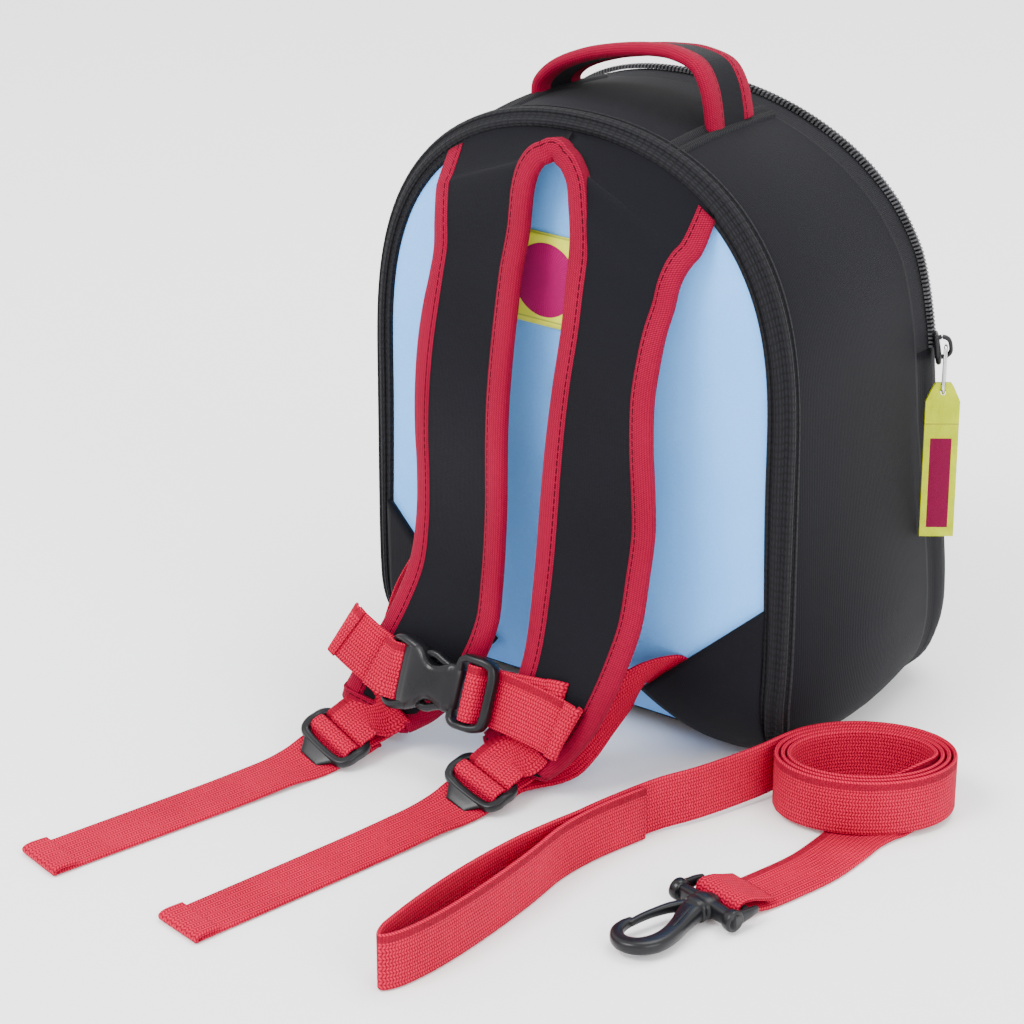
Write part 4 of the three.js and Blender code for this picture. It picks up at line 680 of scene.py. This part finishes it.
lower_right = [
    (0.091, 0.61, 0.286, 0.56, 0.55, 0.286), (0.091, 0.65, 0.232, 0.545, 0.635, 0.236),
    (0.076, 0.69, 0.179, 0.51, 0.72, 0.179), (0.038, 0.76, 0.125, 0.44, 0.775, 0.114),
    (-0.01, 0.83, 0.082, 0.335, 0.82, 0.056), (-0.03, 0.87, 0.071, 0.275, 0.865, 0.033)]
lower_left = [
    (0.096, 0.61, 0.286, 0.555, 0.555, 0.286), (0.086, 0.67, 0.236, 0.574, 0.69, 0.225),
    (0.134, 0.705, 0.175, 0.617, 0.83, 0.168), (0.239, 0.743, 0.105, 0.67, 0.915, 0.121),
    (0.354, 0.79, 0.055, 0.708, 0.955, 0.086), (0.43, 0.88, 0.036, 0.727, 0.935, 0.073)]


def strap_place(side, across, out, up):
    return V(side * across * half_width, -back_set - out * reach + sink, up * height)


COLS, YOKE = 16, 6


def strap_grid(side, rows):
    coarse = []
    for r, (ia, io, iu, oa, oo, ou) in enumerate(rows):
        inner, outer = strap_place(side, ia, io, iu), strap_place(side, oa, oo, ou)
        row = [inner + (outer - inner) * c / COLS for c in range(COLS + 1)]
        if r == 0:
            for p in row:
                p[2] = arch_z(abs(p[0])) - 4.5
                p[1] = back_face(p[0], p[2])[1] - 0.6
        coarse.append(row)
    coarse = np.array(coarse)
    return np.stack([catmull(coarse[:, c], 6) for c in range(COLS + 1)], axis=1)


def grid_normals(g):
    du, dv = np.gradient(g, axis=1), np.gradient(g, axis=0)
    n = unit(np.cross(du, dv))
    flip = np.where(n[:, :, 1:2] > 0, -1, 1)
    return n * flip


straps = {1: strap_grid(1, yoke_right + lower_right), -1: strap_grid(-1, yoke_rows + lower_left)}
normals = {side: grid_normals(g) for side, g in straps.items()}
both = np.array([(1 - abs(2 * c / COLS - 1) ** 8) ** 0.5 for c in range(COLS + 1)])
outer_only = np.where(np.arange(COLS + 1) < COLS // 2, 1.0, both)
pad_half = 2.9
ease = np.clip(np.arange(len(straps[1])) / 10, 0.22, 1)
heading = {-1: math.radians(16), 1: math.radians(13)}
# The yoke's normals are evened out so that the two halves meet smoothly
for r in range(YOKE + 3):
    mean = unit(normals[1][r, 0] * V(0, 1, 1) + normals[-1][r, 0] * V(0, 1, 1))
    for side in (1, -1):
        for c in range(5):
            normals[side][r, c] = unit(mean * (1 - c / 5) + normals[side][r, c] * c / 5)


# One pad: the yoke first, then both straps to their rounded ends
def pad_rows(g, n, lift):
    return np.concatenate([g + n * lift, (g - n * lift)[:, ::-1]], axis=1)


g, n = (np.concatenate([both_sides[-1][:YOKE + 1, ::-1], both_sides[1][:YOKE + 1]], axis=1)
        for both_sides in (straps, normals))
lift = np.concatenate([outer_only[::-1], outer_only])[:, None] * (pad_half * ease[:YOKE + 1])[:, None, None]
pad_parts = [grid_parts(pad_rows(g, n, lift), around=True)]
ends = {}
for word, side in SIDES:
    turn = heading[side]
    ahead = V(-math.sin(turn) * 0.97, -math.cos(turn) * 0.97, -0.24)
    g, n = straps[side], normals[side]
    swell = np.sin(np.linspace(0, math.pi, COLS + 1)) ** 0.6
    extra = [g[-1] + ahead * (k * swell)[:, None] for k in (1.5, 3.2, 4.6)]
    ends[side] = (extra[-1], n[-1], ahead)
    full = np.concatenate([g[YOKE:], extra])
    full_n = np.concatenate([n[YOKE:]] + [n[-1:]] * 3)
    share = np.concatenate([pad_half * ease[YOKE:], [2.8, 2.4, 1.6]])
    blend = np.clip(np.arange(len(full)) / 4, 0, 1)[:, None]
    lift = (outer_only * (1 - blend) + both * blend)[:, :, None] * share[:, None, None]
    pad_parts.append(grid_parts(pad_rows(full, full_n, lift), around=True))
pad_points, pad_faces, pad_uvs = [], [], []
for points, faces, uvs in pad_parts:
    pad_faces += [tuple(i + len(pad_points) for i in face) for face in faces]
    pad_points += list(points)
    pad_uvs += uvs
pad = add_piece("strap pad", pad_points, pad_faces, pad_uvs, black, node="shoulder_straps", slot="black cloth")
finish_normals(pad, merge=0.1)


def tape_along(name, edge, normal, outward, node, flat):
    """A piped tape along an edge; flat thins it from row to row"""
    rows = [[p + o * (a - 0.4) + n * b * k for a, b in bead]
            for p, n, o, k in zip(edge, normal, outward, flat)]
    return grid(name, rows, tape_red, caps=True, around=True, node=node, slot="binding")


for word, side in SIDES:
    node = "strap_binding_" + word
    g, n = straps[side][1:], normals[side][1:, -1]
    over_edge = g[:, -1] - g[:, -2]
    out = unit(over_edge - n * (over_edge * n).sum(1, keepdims=True))
    tape_along("strap tape " + word, g[:, -1], n, out, node, ease[1:] * 0.9 + 0.1)
    end, end_n, ahead = ends[side]
    out = unit(np.cross(unit(np.gradient(end, axis=0)), end_n))
    out *= np.sign(out[COLS // 2] @ ahead)
    tape_along("strap tape end " + word, end, end_n, out, node, np.full(len(end), 0.4))

# The inner tape runs up one strap, round the opening's top and down the other
first, eased = 9, 7
apex, apex_n = straps[1][6, 0] * V(0, 1, 1) + V(0, 0, 0.2), unit(V(0, -1, 0.2))
halves = {}
for side in (-1, 1):
    n = normals[side][first::3, 0].copy()
    for i in range(eased):
        n[i] = unit(apex_n * (1 - i / eased) + n[eased] * i / eased)
    halves[side] = (straps[side][first::3, 0], n)
edge, edge_n = (catmull(np.concatenate([halves[-1][i][::-1], [middle], halves[1][i]]), 5)
                for i, middle in ((0, apex), (1, apex_n)))
edge_n = unit(edge_n)
out = unit(np.cross(unit(np.gradient(edge, axis=0)), edge_n))
out *= -np.sign(out[len(out) // 2][2])
tape_along("strap tape inner", edge, edge_n, out, "strap_binding_inner", np.ones(len(edge)))


# Strap ends, lower webbing and tails
def make_frame(o, a, n):
    """A place with its along, normal and across directions"""
    a = unit(np.asarray(a, float))
    n = unit(n - a * (n @ a))
    return o, a, n, np.cross(n, a)


in_frame = lambda f, s, h: f[0] + f[1] * s + f[2] * h
web, web_width, lay_half, gap = 1.6, 25.0, 0.8, 0.4
over_bar = 3.6 / 2 + gap + lay_half
rear_bar_at, rear_slot, middle_bar, front_slot, front_bar = 8.0, 5.6, 3.6, 4.0, 3.6
slot_rear = rear_bar_at + 1.6
middle_rear = slot_rear + rear_slot
middle_at = middle_rear + middle_bar / 2
slot_front = middle_at + middle_bar / 2
front_at = slot_front + front_slot + front_bar / 2
adjuster_end = front_at + front_bar / 2
over_patch = 0.7 + 1.6 + gap + lay_half + 2.4
tail_rise = [1.6, 1, 0.3, 0.1, 0.05, 0.05]
web_right = [(0.395, 0.1, 0.125, 0.575, 0.1, 0.198), (0.4, 0.26, 0.098, 0.455, 0.27, 0.184),
             (0.375, 0.4, 0.068, 0.34, 0.45, 0.15), (0.345, 0.55, 0.036, 0.215, 0.59, 0.1),
             (0.305, 0.7, 0.014, 0.1, 0.7, 0.052)]
web_left = [(0.6, 0.02, 0.19, 0.78, 0.02, 0.255), (0.63, 0.3, 0.125, 0.81, 0.28, 0.19),
            (0.62, 0.48, 0.065, 0.8, 0.45, 0.13), (0.57, 0.63, 0.024, 0.77, 0.63, 0.075),
            (0.53, 0.75, 0.01, 0.75, 0.76, 0.036)]


def strap_end(side, last):
    """The frame in which a strap's adjuster and webbing lie"""
    inner, outer = strap_place(side, *last[:3]), strap_place(side, *last[3:])
    middle = (inner + outer) / 2
    across = unit(outer - inner) * V(1, 1, 0.6)
    turn, dip = heading[side], math.radians(14)
    a = V(-math.sin(turn) * math.cos(dip), -math.cos(turn) * math.cos(dip), -math.sin(dip))
    n = unit(np.cross(a, across))
    far = max((p - middle) @ a for p in (inner, outer))
    return make_frame(middle + a * (far + 1.9), a, n if n[2] > 0 else -n)


end_frames = {-1: strap_end(-1, lower_left[-1]), 1: strap_end(1, lower_right[-1])}
tail_length, tail_shares = {-1: 130, 1: 139}, (0, 0.12, 0.3, 0.55, 0.8, 1)
loop_rows = [(1, 3.9), (rear_bar_at - 2.4, over_bar + 0.4), (rear_bar_at, over_bar + 0.1),
             (rear_bar_at + 3.1, over_bar * 0.64), (rear_bar_at + 3.1, -over_bar * 0.64),
             (rear_bar_at, -over_bar - 0.1), (rear_bar_at - 2.4, -over_bar), (1, -3.6), (-8, -4.2)]
threading = [(rear_bar_at - 4, -over_bar - 3), (slot_rear + 1, -over_bar - 2.6),
             (middle_rear - 1.9, -over_bar - 0.4), (middle_rear - 1.3, -1), (middle_rear - 1.25, 1.4),
             (middle_rear - 0.1, over_bar - 0.1), (middle_at, over_bar + 0.1),
             (slot_front + 0.1, over_bar - 0.1),
             (slot_front + 1.4, 1.4), (slot_front + 1.8, -1), (slot_front + 3, -over_bar - 0.1),
             (front_at, -over_bar - 0.3)]
hem_rows = [(-9, 1.9), (-5, 2.1), (-1, 2.1), (1.2, 1.6), (2, 0.9), (1.8, 0.15), (0.8, 0.05)]
for (word, side), rows in zip(SIDES, (web_left, web_right)):
    f, turn = end_frames[side], heading[side]
    g, n = straps[side], normals[side]
    loop = [(g[r, COLS // 2] + n[r, COLS // 2] * 4.4, unit(g[r, -1] - g[r, 0]) * -side) for r in (-9, -5)]
    b = f[3]
    loop += [(in_frame(f, s, h), b * (1 if b @ loop[0][1] > 0 else -1)) for s, h in loop_rows]
    webbing("end loop " + word, loop, web_width, web, "end_loop_" + word)
    flat = b if b[0] > 0 else -b
    level, ahead = V(math.cos(turn), -math.sin(turn), 0), V(-math.sin(turn), -math.cos(turn), 0)
    stations = []
    for i, row in enumerate(rows):
        low, high = strap_place(side, *row[:3]), strap_place(side, *row[3:])
        for p in (low, high):
            p[1] = min(p[1], back_face(p[0], p[2])[1] - (1.6 if i == 0 else over_patch))
        if i == 0:
            root = [q + V(side * 10, 0, -3) for q in (low, high)]
            for p in root:
                p[1] = back_face(p[0], p[2])[1] - 0.9
            stations.append(((root[0] + root[1]) / 2, unit(low - high) * side))
        stations.append(((low + high) / 2, unit(low - high) * side))
    stations += [(in_frame(f, s, h), flat) for s, h in threading]
    start = in_frame(f, adjuster_end + 8.5, -over_bar - 0.9)
    for share, lift in zip(tail_shares, tail_rise):
        p = start + ahead * share * tail_length[side]
        p[2] = lay_half + lift
        stations.append((p, unit(level + flat) if share == 0 else level))
    webbing("lower webbing " + word, stations, web_width, web, "lower_webbing_" + word, per=6, square=False)
    hem = make_frame(stations[-1][0], ahead, V(0, 0, 1))
    webbing("tail hem " + word, [(in_frame(hem, s, h), level) for s, h in hem_rows], web_width + 0.6, web + 0.2,
            "tail_hem_" + word, per=4)


# Chest webbing, with the buckle's frame turned as it lies in the photograph
chest = make_frame(V(-26, -118, 41), V(0.99, 0, -0.15), V(0.05, -0.885, 0.356))
lie = math.radians(8)
lie_along = chest[1] * math.cos(lie) + chest[3] * math.sin(lie)
chest_lie = make_frame(chest[0] - lie_along * 1.5, lie_along, chest[2])
wrap, pin_at, bar_at, rim_at = 2.9, -17.5, 20.2, 28.9


def chest_strip(name, rows, width, node, per):
    """Webbing through rows [along, height, across, lean of its width]"""
    stations = []
    for s, h, t, lean in rows:
        place = in_frame(chest_lie, s, h) + chest_lie[3] * t
        stations.append((place, unit(chest_lie[3] + chest_lie[1] * lean)))
    webbing(name, stations, width, web, node, per)


level_rows = lambda rows: [(s, h, 0, 0) for s, h in rows]
left_end = [(-49, -0.8, 10.5, 0.42), (-45, -0.1, 8.6, 0.336), (-38, 0, 5.6, 0.252), (-32, -0.4, 3.2, 0.168),
            (-26, -1.4, 1.2, 0.084), (-22, -2.5, 0.3, 0)]
round_pin = [(pin_at - 1, -wrap), (pin_at + 1.9, -wrap + 0.8), (pin_at + 2.9, 0), (pin_at + 1.7, wrap - 0.5),
             (pin_at - 0.8, wrap), (pin_at - 4, 2.7)]
chest_strip("chest webbing cloth left", left_end + level_rows(round_pin) + [
    (-25.5, 2.3, 1.0, 0.15), (-29, 1.9, 2.2, 0.25)], web_width, "chest_webbing_left", 6)
right_end = [(66, -2.6, -4.6, 0.35), (60, -3.0, -3.4, 0.28), (50, -3.3, -1.9, 0.16), (41, -3.4, -0.9, 0.07),
             (34, -3.5, -0.2, 0)]
round_bar = [(rim_at, -wrap - 0.9), (rim_at - 3.6, -1.5), (bar_at + 3.2, 1.2), (bar_at + 1.9, 2.8),
             (bar_at - 1.9, 2.8), (bar_at - 3.2, 1), (bar_at - 3.2, -1.6), (bar_at - 1.6, -4.4),
             (bar_at + 5, -wrap - 2.6)]
chest_strip("chest webbing cloth right", right_end + level_rows(round_bar) + [
    (36, -5.6, 0.6, 0), (45, -5.8, 1.5, 0.05), (58, -5.6, 2.8, 0.1)], web_width, "chest_webbing_right", 6)
hems = {
    "left": ("left", [(-45.5, 0.9, 8.7, 0.42), (-49.3, 0.6, 10.6, 0.42), (-50.6, -0.9, 11.0, 0.42)]),
    "right": ("right", [(62, -1.4, -3.9, 0.3), (66.1, -1.2, -4.6, 0.35), (67.8, -2.5, -4.8, 0.36),
                        (66.3, -4.1, -4.6, 0.35)]),
    "under": ("right", [(53, -5.0, 2.5, 0.07), (58, -4.9, 3.1, 0.1), (59.6, -5.8, 3.2, 0.1),
                        (58, -7.0, 3.1, 0.1)])}
for word, (side, rows) in hems.items():
    chest_strip("chest hem " + word, rows, web_width + 0.4, "chest_webbing_" + side, 5)


# Tether: hand loop, run, coil and flat end
upright = V(0, 0, 1)
edge_height, coil_height = 12.55, 14.7
hook = make_frame(V(138.6, -144.2, 5.6), V(-0.26, -0.966, 0), upright)
hand_loop = [(82, -118), (76.1, -138.5), (73.4, -152), (72.2, -166), (73.3, -186), (73.6, -210), (72.6, -235),
             (70.4, -254), (66.6, -268), (62.8, -272.6), (59.8, -268), (58.4, -254), (58, -238), (59, -212),
             (62.4, -184), (67, -164), (70.4, -152), (73.6, -138), (79.4, -117.5), (84, -107), (91.5, -93.5),
             (100, -73), (104.5, -61)]
stations = [(V(x, y, edge_height + (coil_height - edge_height) * max(0, (i - 18) / 4)), upright)
            for i, (x, y) in enumerate(hand_loop)]
coil_turns, coil_steps, coil_pitch, coil_long, coil_short = 3.43, 22, 2.7, 39.5, 28
coil_centre, coil_start, coil_lie = V(143, -43, coil_height), math.radians(145), math.radians(35.5)
coil_axis = V(math.cos(coil_lie), math.sin(coil_lie), 0)
for i in range(round(coil_turns * coil_steps) + 1):
    turns = i / coil_steps
    angle = coil_start - 2 * math.pi * turns
    x, y = (radius - coil_pitch * turns for radius in (coil_long, coil_short))
    out = coil_axis * x * math.cos(angle) + np.cross(upright, coil_axis) * y * math.sin(angle)
    stations.append((coil_centre + out, upright))
lay_down = [(167.2, -40, 13.4, -0.3, 0, 0.95), (161.6, -47, 8.6, -0.78, 0.13, 0.6),
            (157, -54, 3.6, -0.99, 0.05, 0.08), (153.8, -66, 1.1, -1, 0, 0), (153.4, -80, 0.95, -1, 0.03, 0),
            (152, -98, 0.95, -0.99, 0.12, 0), (147.6, -116, 0.95, -0.97, 0.24, 0),
            (142.4, -133, 1.2, -0.966, 0.26, 0)]
stations += [(V(*row[:3]), unit(V(*row[3:]))) for row in lay_down]
lay = 3.4 / 2 + gap + 0.9
round_hook_pin = [(-3, -lay), (2, -lay), (2 + lay * 0.72, -lay * 0.7), (2 + lay, 0),
                  (2 + lay * 0.72, lay * 0.7),
                  (2, lay), (-3, lay * 0.8), (-8, 0.6), (-14, -1.4)]
stations += [(in_frame(hook, s, h), V(-0.966, 0.26, 0)) for s, h in round_hook_pin]
tether = webbing("tether webbing", stations, web_width, 1.8, "tether", per=4)


# Hard parts
def rounded(node, bevel, material):
    """A copy of a solid with softened edges"""
    source = bpy.data.objects[node]
    mesh = source.data.copy()
    obj = bpy.data.objects.new(node + "_moulded", mesh)
    bpy.context.collection.objects.link(obj)
    obj.matrix_world = source.matrix_world.copy()
    mesh.materials.clear()
    mesh.materials.append(material)
    bm = bmesh.new()
    bm.from_mesh(mesh)
    bmesh.ops.remove_doubles(bm, verts=bm.verts, dist=1e-6)
    bmesh.ops.dissolve_limit(bm, angle_limit=math.radians(2), verts=bm.verts, edges=bm.edges)
    bm.to_mesh(mesh)
    bm.free()
    for poly in mesh.polygons:
        poly.use_smooth = True
    mod = obj.modifiers.new("round", "BEVEL")
    mod.width, mod.segments = bevel * MM, 3
    mod.limit_method, mod.angle_limit = "ANGLE", math.radians(35)
    mod.harden_normals = True
    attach(obj, "bag")
    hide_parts(node)


def round_section(half_wide, half_high, power, count=20):
    """A rounded box section; a power of 2 gives an ellipse"""
    shape = lambda value: math.copysign(abs(value) ** (2 / power), value)
    angles = np.linspace(0, 2 * math.pi, count, endpoint=False)
    return [(half_wide * shape(math.cos(a)), half_high * shape(math.sin(a))) for a in angles]


def end_cap(last, before):
    """Rows that round off the end of a spine"""
    lead, radius = unit(last[:3] - before[:3]), last[3:].min()
    rows = []
    for share in (0.35, 0.7, 0.92):
        row = last.copy()
        row[:3] += lead * radius * share
        row[3:] -= radius * (1 - math.sqrt(1 - share ** 2))
        rows.append(row)
    return rows


def moulding(name, f, spine, node, body="bag", closed=False, power=3.0, per=5, ends=True):
    """A rounded body along a spine of rows [along, across, height, half width, half height] in a frame"""
    pts = np.array(spine, float)
    if closed:
        wide = np.concatenate([pts[-2:], pts, pts[:3]])
        dense = catmull(wide, per)[2 * per:-2 * per - 1]
    else:
        dense = catmull(pts, per)
        if ends:
            dense = np.array(end_cap(dense[0], dense[1])[::-1] + list(dense) + end_cap(dense[-1], dense[-2]))
    place = dense[:, :1] * f[1] + dense[:, 1:2] * f[3] + dense[:, 2:3] * f[2] + f[0]
    t = unit(np.roll(place, -1, 0) - np.roll(place, 1, 0) if closed else np.gradient(place, axis=0))
    up = unit(f[2] - t * (t @ f[2])[:, None])
    w = np.cross(t, up)
    rows = [[p + wi * a + ui * b for a, b in round_section(row[3], row[4], power)]
            for p, wi, ui, row in zip(place, w, up, dense)]
    grid(name, rows, plastic, around=True, loop=closed, caps=not closed, node=node, body=body,
         slot="black plastic")


def bar(name, f, along, reach, radius, node, power=3.0):
    """A straight round bar across a frame"""
    moulding(name, f, [(along, side * reach, 0, radius, radius) for side in (-1, 0, 1)], node, power=power)


def both_halves(half):
    """A closed loop from its half, which starts and ends on the middle line"""
    return half + [(a, -b, *rest) for a, b, *rest in half[::-1][1:-1]]


# Adjusters: a rounded frame, its middle bar and a wavy lip
s0, s1, half = rear_bar_at + 0.2, front_at - 0.2, 14.1
adjuster = both_halves([
    (s0, 0, 0, 1.7, 1.8), (s0, 9, 0, 1.7, 1.8), (s0 + 1.2, 12.6, 0, 1.8, 1.9), (s0 + 4.2, half, 0.3, 1.9, 2.3),
    ((s0 + s1) / 2, half + 0.1, 0.5, 1.9, 2.5), (s1 - 4, half, 0.2, 2.0, 2.3), (s1 - 0.8, 12.4, -0.2, 2.0, 2.0),
    (s1 + 0.3, 8, -0.5, 1.9, 1.8), (s1 + 0.6, 0, -0.7, 1.9, 1.8)])
lip = [(s1 + 1.2, 0, -0.7, 10.5, 1.5), (s1 + 3, 0, -1.1, 8.8, 1.2), (s1 + 5, 0, -1.7, 7.2, 1.0),
       (s1 + 6.6, 0, -2.3, 6.0, 0.8)]
for word, side in SIDES:
    f, node = end_frames[side], "adjuster_" + word
    moulding("adjuster frame " + word, f, adjuster, node, closed=True)
    bar("adjuster bar " + word, f, middle_at, 13.5, 1.7, node)
    moulding("adjuster lip " + word, f, lip, node, power=4)

# Side release buckle, in the chest frame turned as it lies
shell = [(-12.4, 0, 0.3, 14.6, 3.9), (-10.5, 0, 0.3, 14.9, 4.6), (-7.5, 0, 0.3, 14.3, 5.1),
         (-5, 0, 0.3, 12.6, 5.3), (-3, 0, 0.3, 10.2, 5.3), (-1, 0, 0.3, 8.5, 5.2), (1.2, 0, 0.3, 7.9, 5.2),
         (4, 0, 0.3, 8.5, 5.2), (7, 0, 0.3, 9.9, 5.1), (9.2, 0, 0.3, 10.9, 5.0), (10.6, 0, 0.3, 11.1, 4.6)]
horn = [(-10, 12.6, 0.3, 2.6, 4.2), (-13.5, 13.9, 0.4, 2.2, 4.0), (-17, 14.7, 0.3, 1.9, 3.6),
        (-20, 14.4, -0.2, 1.6, 2.9), (-22.3, 13.2, -0.8, 1.2, 2.0)]
prong = [(12.5, 8.2, 0, 1.8, 2.4), (8, 8.6, 0, 1.8, 2.4), (3.5, 10.2, 0, 1.7, 2.4), (-0.5, 11.7, 0, 1.8, 2.4),
         (-4, 11.2, 0, 1.7, 2.4), (-7, 8.5, 0, 1.6, 2.4)]
buckle_frame = both_halves([
    (12.6, 0, 0, 1.7, 3.6), (12.6, 8, 0, 1.7, 3.6), (12.9, 12.5, 0, 1.8, 3.7), (15, 14.4, 0.1, 1.8, 3.9),
    (19, 14.7, 0.2, 1.8, 4.0), (24, 14.5, 0.1, 1.9, 3.8), (27.6, 12.9, 0, 2.0, 3.3), (28.7, 9.5, 0, 2.1, 2.9),
    (rim_at, 0, 0, 2.1, 2.7)])
to_side = lambda rows, side: [(a, b * side, *rest) for a, b, *rest in rows]
moulding("buckle shell", chest_lie, shell, "buckle_female", power=4.5)
for word, side in (("upper", 1), ("lower", -1)):
    moulding("buckle horn " + word, chest_lie, to_side(horn, side), "buckle_female", power=2.6)
    moulding("buckle prong " + word, chest_lie, to_side(prong, side), "buckle_male")
bar("buckle pin", chest_lie, pin_at, 14, 1.7, "buckle_female")
moulding("buckle frame", chest_lie, buckle_frame, "buckle_male", closed=True)
bar("buckle bar", chest_lie, bar_at, 13.8, 1.6, "buckle_male")

# Snap hook: crossbar with lugs and barrel, then the collar, the hook and its gate
barrel = [(9.4, 0, 0, 4.6, 4.3), (10.5, 0, 0, 6.6, 4.9), (13.2, 0, 0, 6.8, 5.0), (13.9, 0, 0, 6.0, 4.6)]
crossbar = [(11.6, -14.6, 0.2, 2.4, 3.2), (11.6, -8, 0.2, 2.6, 3.6), (11.6, 0, 0.2, 2.6, 3.9),
            (11.6, 8, 0.2, 2.6, 3.6), (11.6, 14.6, 0.2, 2.4, 3.2)]
lug = [(11.4, 13.4, 0, 4.2, 4.2), (11.4, 15.2, 0, 4.7, 4.7), (11.4, 17.0, 0, 4.6, 4.6),
       (11.4, 17.6, 0, 4.0, 4.0),
       (11.4, 17.65, 0, 2.9, 2.9), (11.4, 17.3, 0, 2.3, 2.3), (11.4, 16.6, 0, 2.0, 2.0)]
tail = [(10, 15.8, 0, 1.6, 3.7), (6, 16, 0.3, 1.5, 2.7), (2, 16, 0.5, 1.5, 2.1), (-1, 15.7, 0.4, 1.3, 1.7)]
collar = [(15.4, 0, 0, 5.1, 4.7), (16.0, 0, 0, 5.9, 5.1), (17.4, 0, 0, 5.9, 5.1), (18, 0, 0, 5.0, 4.6)]
curve = [(17, 0.4, 0, 4.6, 4.0), (20, 0.8, 0, 4.9, 3.9), (24, 2.2, -0.1, 4.7, 3.6), (29, 4.4, -0.2, 4.1, 3.3),
         (35, 6.7, -0.4, 3.9, 3.2), (41, 8.1, -0.5, 4.0, 3.1), (47, 8.0, -0.5, 4.1, 3.1),
         (52.2, 5.6, -0.5, 3.8, 3.0), (55, 1.2, -0.5, 3.5, 2.8), (54.6, -3.8, -0.5, 3.1, 2.6),
         (51.4, -7.8, -0.4, 2.6, 2.4), (46.8, -9.5, -0.3, 2.1, 2.2), (43, -9.6, -0.2, 1.7, 2.0)]
rib = [(22, 1.8, 3.6, 0.9, 0.5), (29, 4.6, 3.2, 0.8, 0.5), (35, 6.9, 2.8, 0.6, 0.4)]
gate = [(19, -4.6, 0.2, 1.9, 2.6), (24, -6.9, 0.3, 1.7, 2.3), (31, -8.2, 0.3, 1.5, 1.9),
        (38, -8.6, 0.3, 1.4, 1.7),
        (43.5, -8.4, 0.2, 1.3, 1.6)]
moulding("hook barrel", hook, barrel, "hook_base", power=2.5, per=3)
moulding("hook crossbar", hook, crossbar, "hook_base")
bar("hook pin", hook, 2, 15, 1.7, "hook_base", power=2)
for word, side in (("near", 1), ("far", -1)):
    moulding("hook lug " + word, hook, to_side(lug, side), "hook_base", power=2, per=3, ends=False)
    moulding("hook tail " + word, hook, to_side(tail, side), "hook_base")
moulding("hook collar", hook, collar, "snap_hook", body="hook", power=2.6, per=3)
moulding("hook curve", hook, curve, "snap_hook", body="hook", power=2.8, per=6)
moulding("hook rib", hook, rib, "snap_hook", body="hook", power=2)
moulding("hook gate", hook, gate, "snap_hook", body="hook")

# Zip slider, its wire and its tag
chain_at = lambda step: front_place(*outline[step], tape_width / 2, 0)
slider_low, slider_high = (np.array(c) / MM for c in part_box("zip_slider"))
slider_out = V(0.86, 0.5, 0)
slider = make_frame((slider_low + slider_high) / 2 - slider_out * 1.4,
                    unit(chain_at(zip_first + 6) - chain_at(zip_first)), slider_out)
plate = [(-6, 0, -1.2, 3.4, 1.3), (-3.5, 0, -1.1, 4.2, 1.5), (1, 0, -1.1, 4.3, 1.5), (4, 0, -1.1, 4.4, 1.4),
         (6, 0, -1.2, 3.2, 1.2)]
bridge = [(s, 0, h, 1.3, 0.9) for s, h in (
    (4.6, -0.4), (4.6, 2.2), (3.2, 4.2), (0.2, 4.8), (-2.8, 4.3), (-4.4, 2.2), (-4.4, -0.4))]
moulding("slider plate", slider, plate, "zip_slider", power=3.5)
moulding("slider bridge", slider, bridge, "zip_slider")
rounded("pull_wire", 0.05, wire)
tag = tag_cloth("tag cloth", V(115.6, 62.6, 149), unit(V(0.05, -0.08, -1)), V(0.58, -0.81, 0))
rounded("pull_tag", 0.5, tag)

# Floor and light
floor_mesh = bpy.data.meshes.new("floor")
size = 6.0
floor_corners = [(-size, -size, 0), (size, -size, 0), (size, size, 0), (-size, size, 0)]
floor_mesh.from_pydata(floor_corners, [], [(0, 1, 2, 3)])
floor = bpy.data.objects.new("floor", floor_mesh)
bpy.context.collection.objects.link(floor)
floor.location.z = -0.0004
pale = Nodes("pale floor")
floor_mesh.materials.append(pale.set(Base_Color=(0.97, 0.97, 0.97, 1), Roughness=0.8))
world = bpy.data.worlds.new("studio")
world.use_nodes = True
world.node_tree.nodes["Background"].inputs[0].default_value = (1, 1, 1, 1)
world.node_tree.nodes["Background"].inputs[1].default_value = 1.9
bpy.context.scene.world = world


def area(name, where, target, width, power):
    data = bpy.data.lights.new(name, "AREA")
    data.shape, data.size, data.energy = "DISK", width, power
    lamp = bpy.data.objects.new(name, data)
    bpy.context.collection.objects.link(lamp)
    lamp.location = where
    lamp.rotation_mode = "QUATERNION"
    lamp.rotation_quaternion = (Vector(target) - Vector(where)).to_track_quat("-Z", "Y")


area("key", (-0.5, -1.5, 1.9), (0, 0, 0.12), 1.1, 56)
area("fill", (1.9, -0.6, 1.0), (0, 0, 0.12), 1.4, 28)
area("top", (0.2, 0.6, 2.0), (0, 0, 0.1), 1.2, 28)
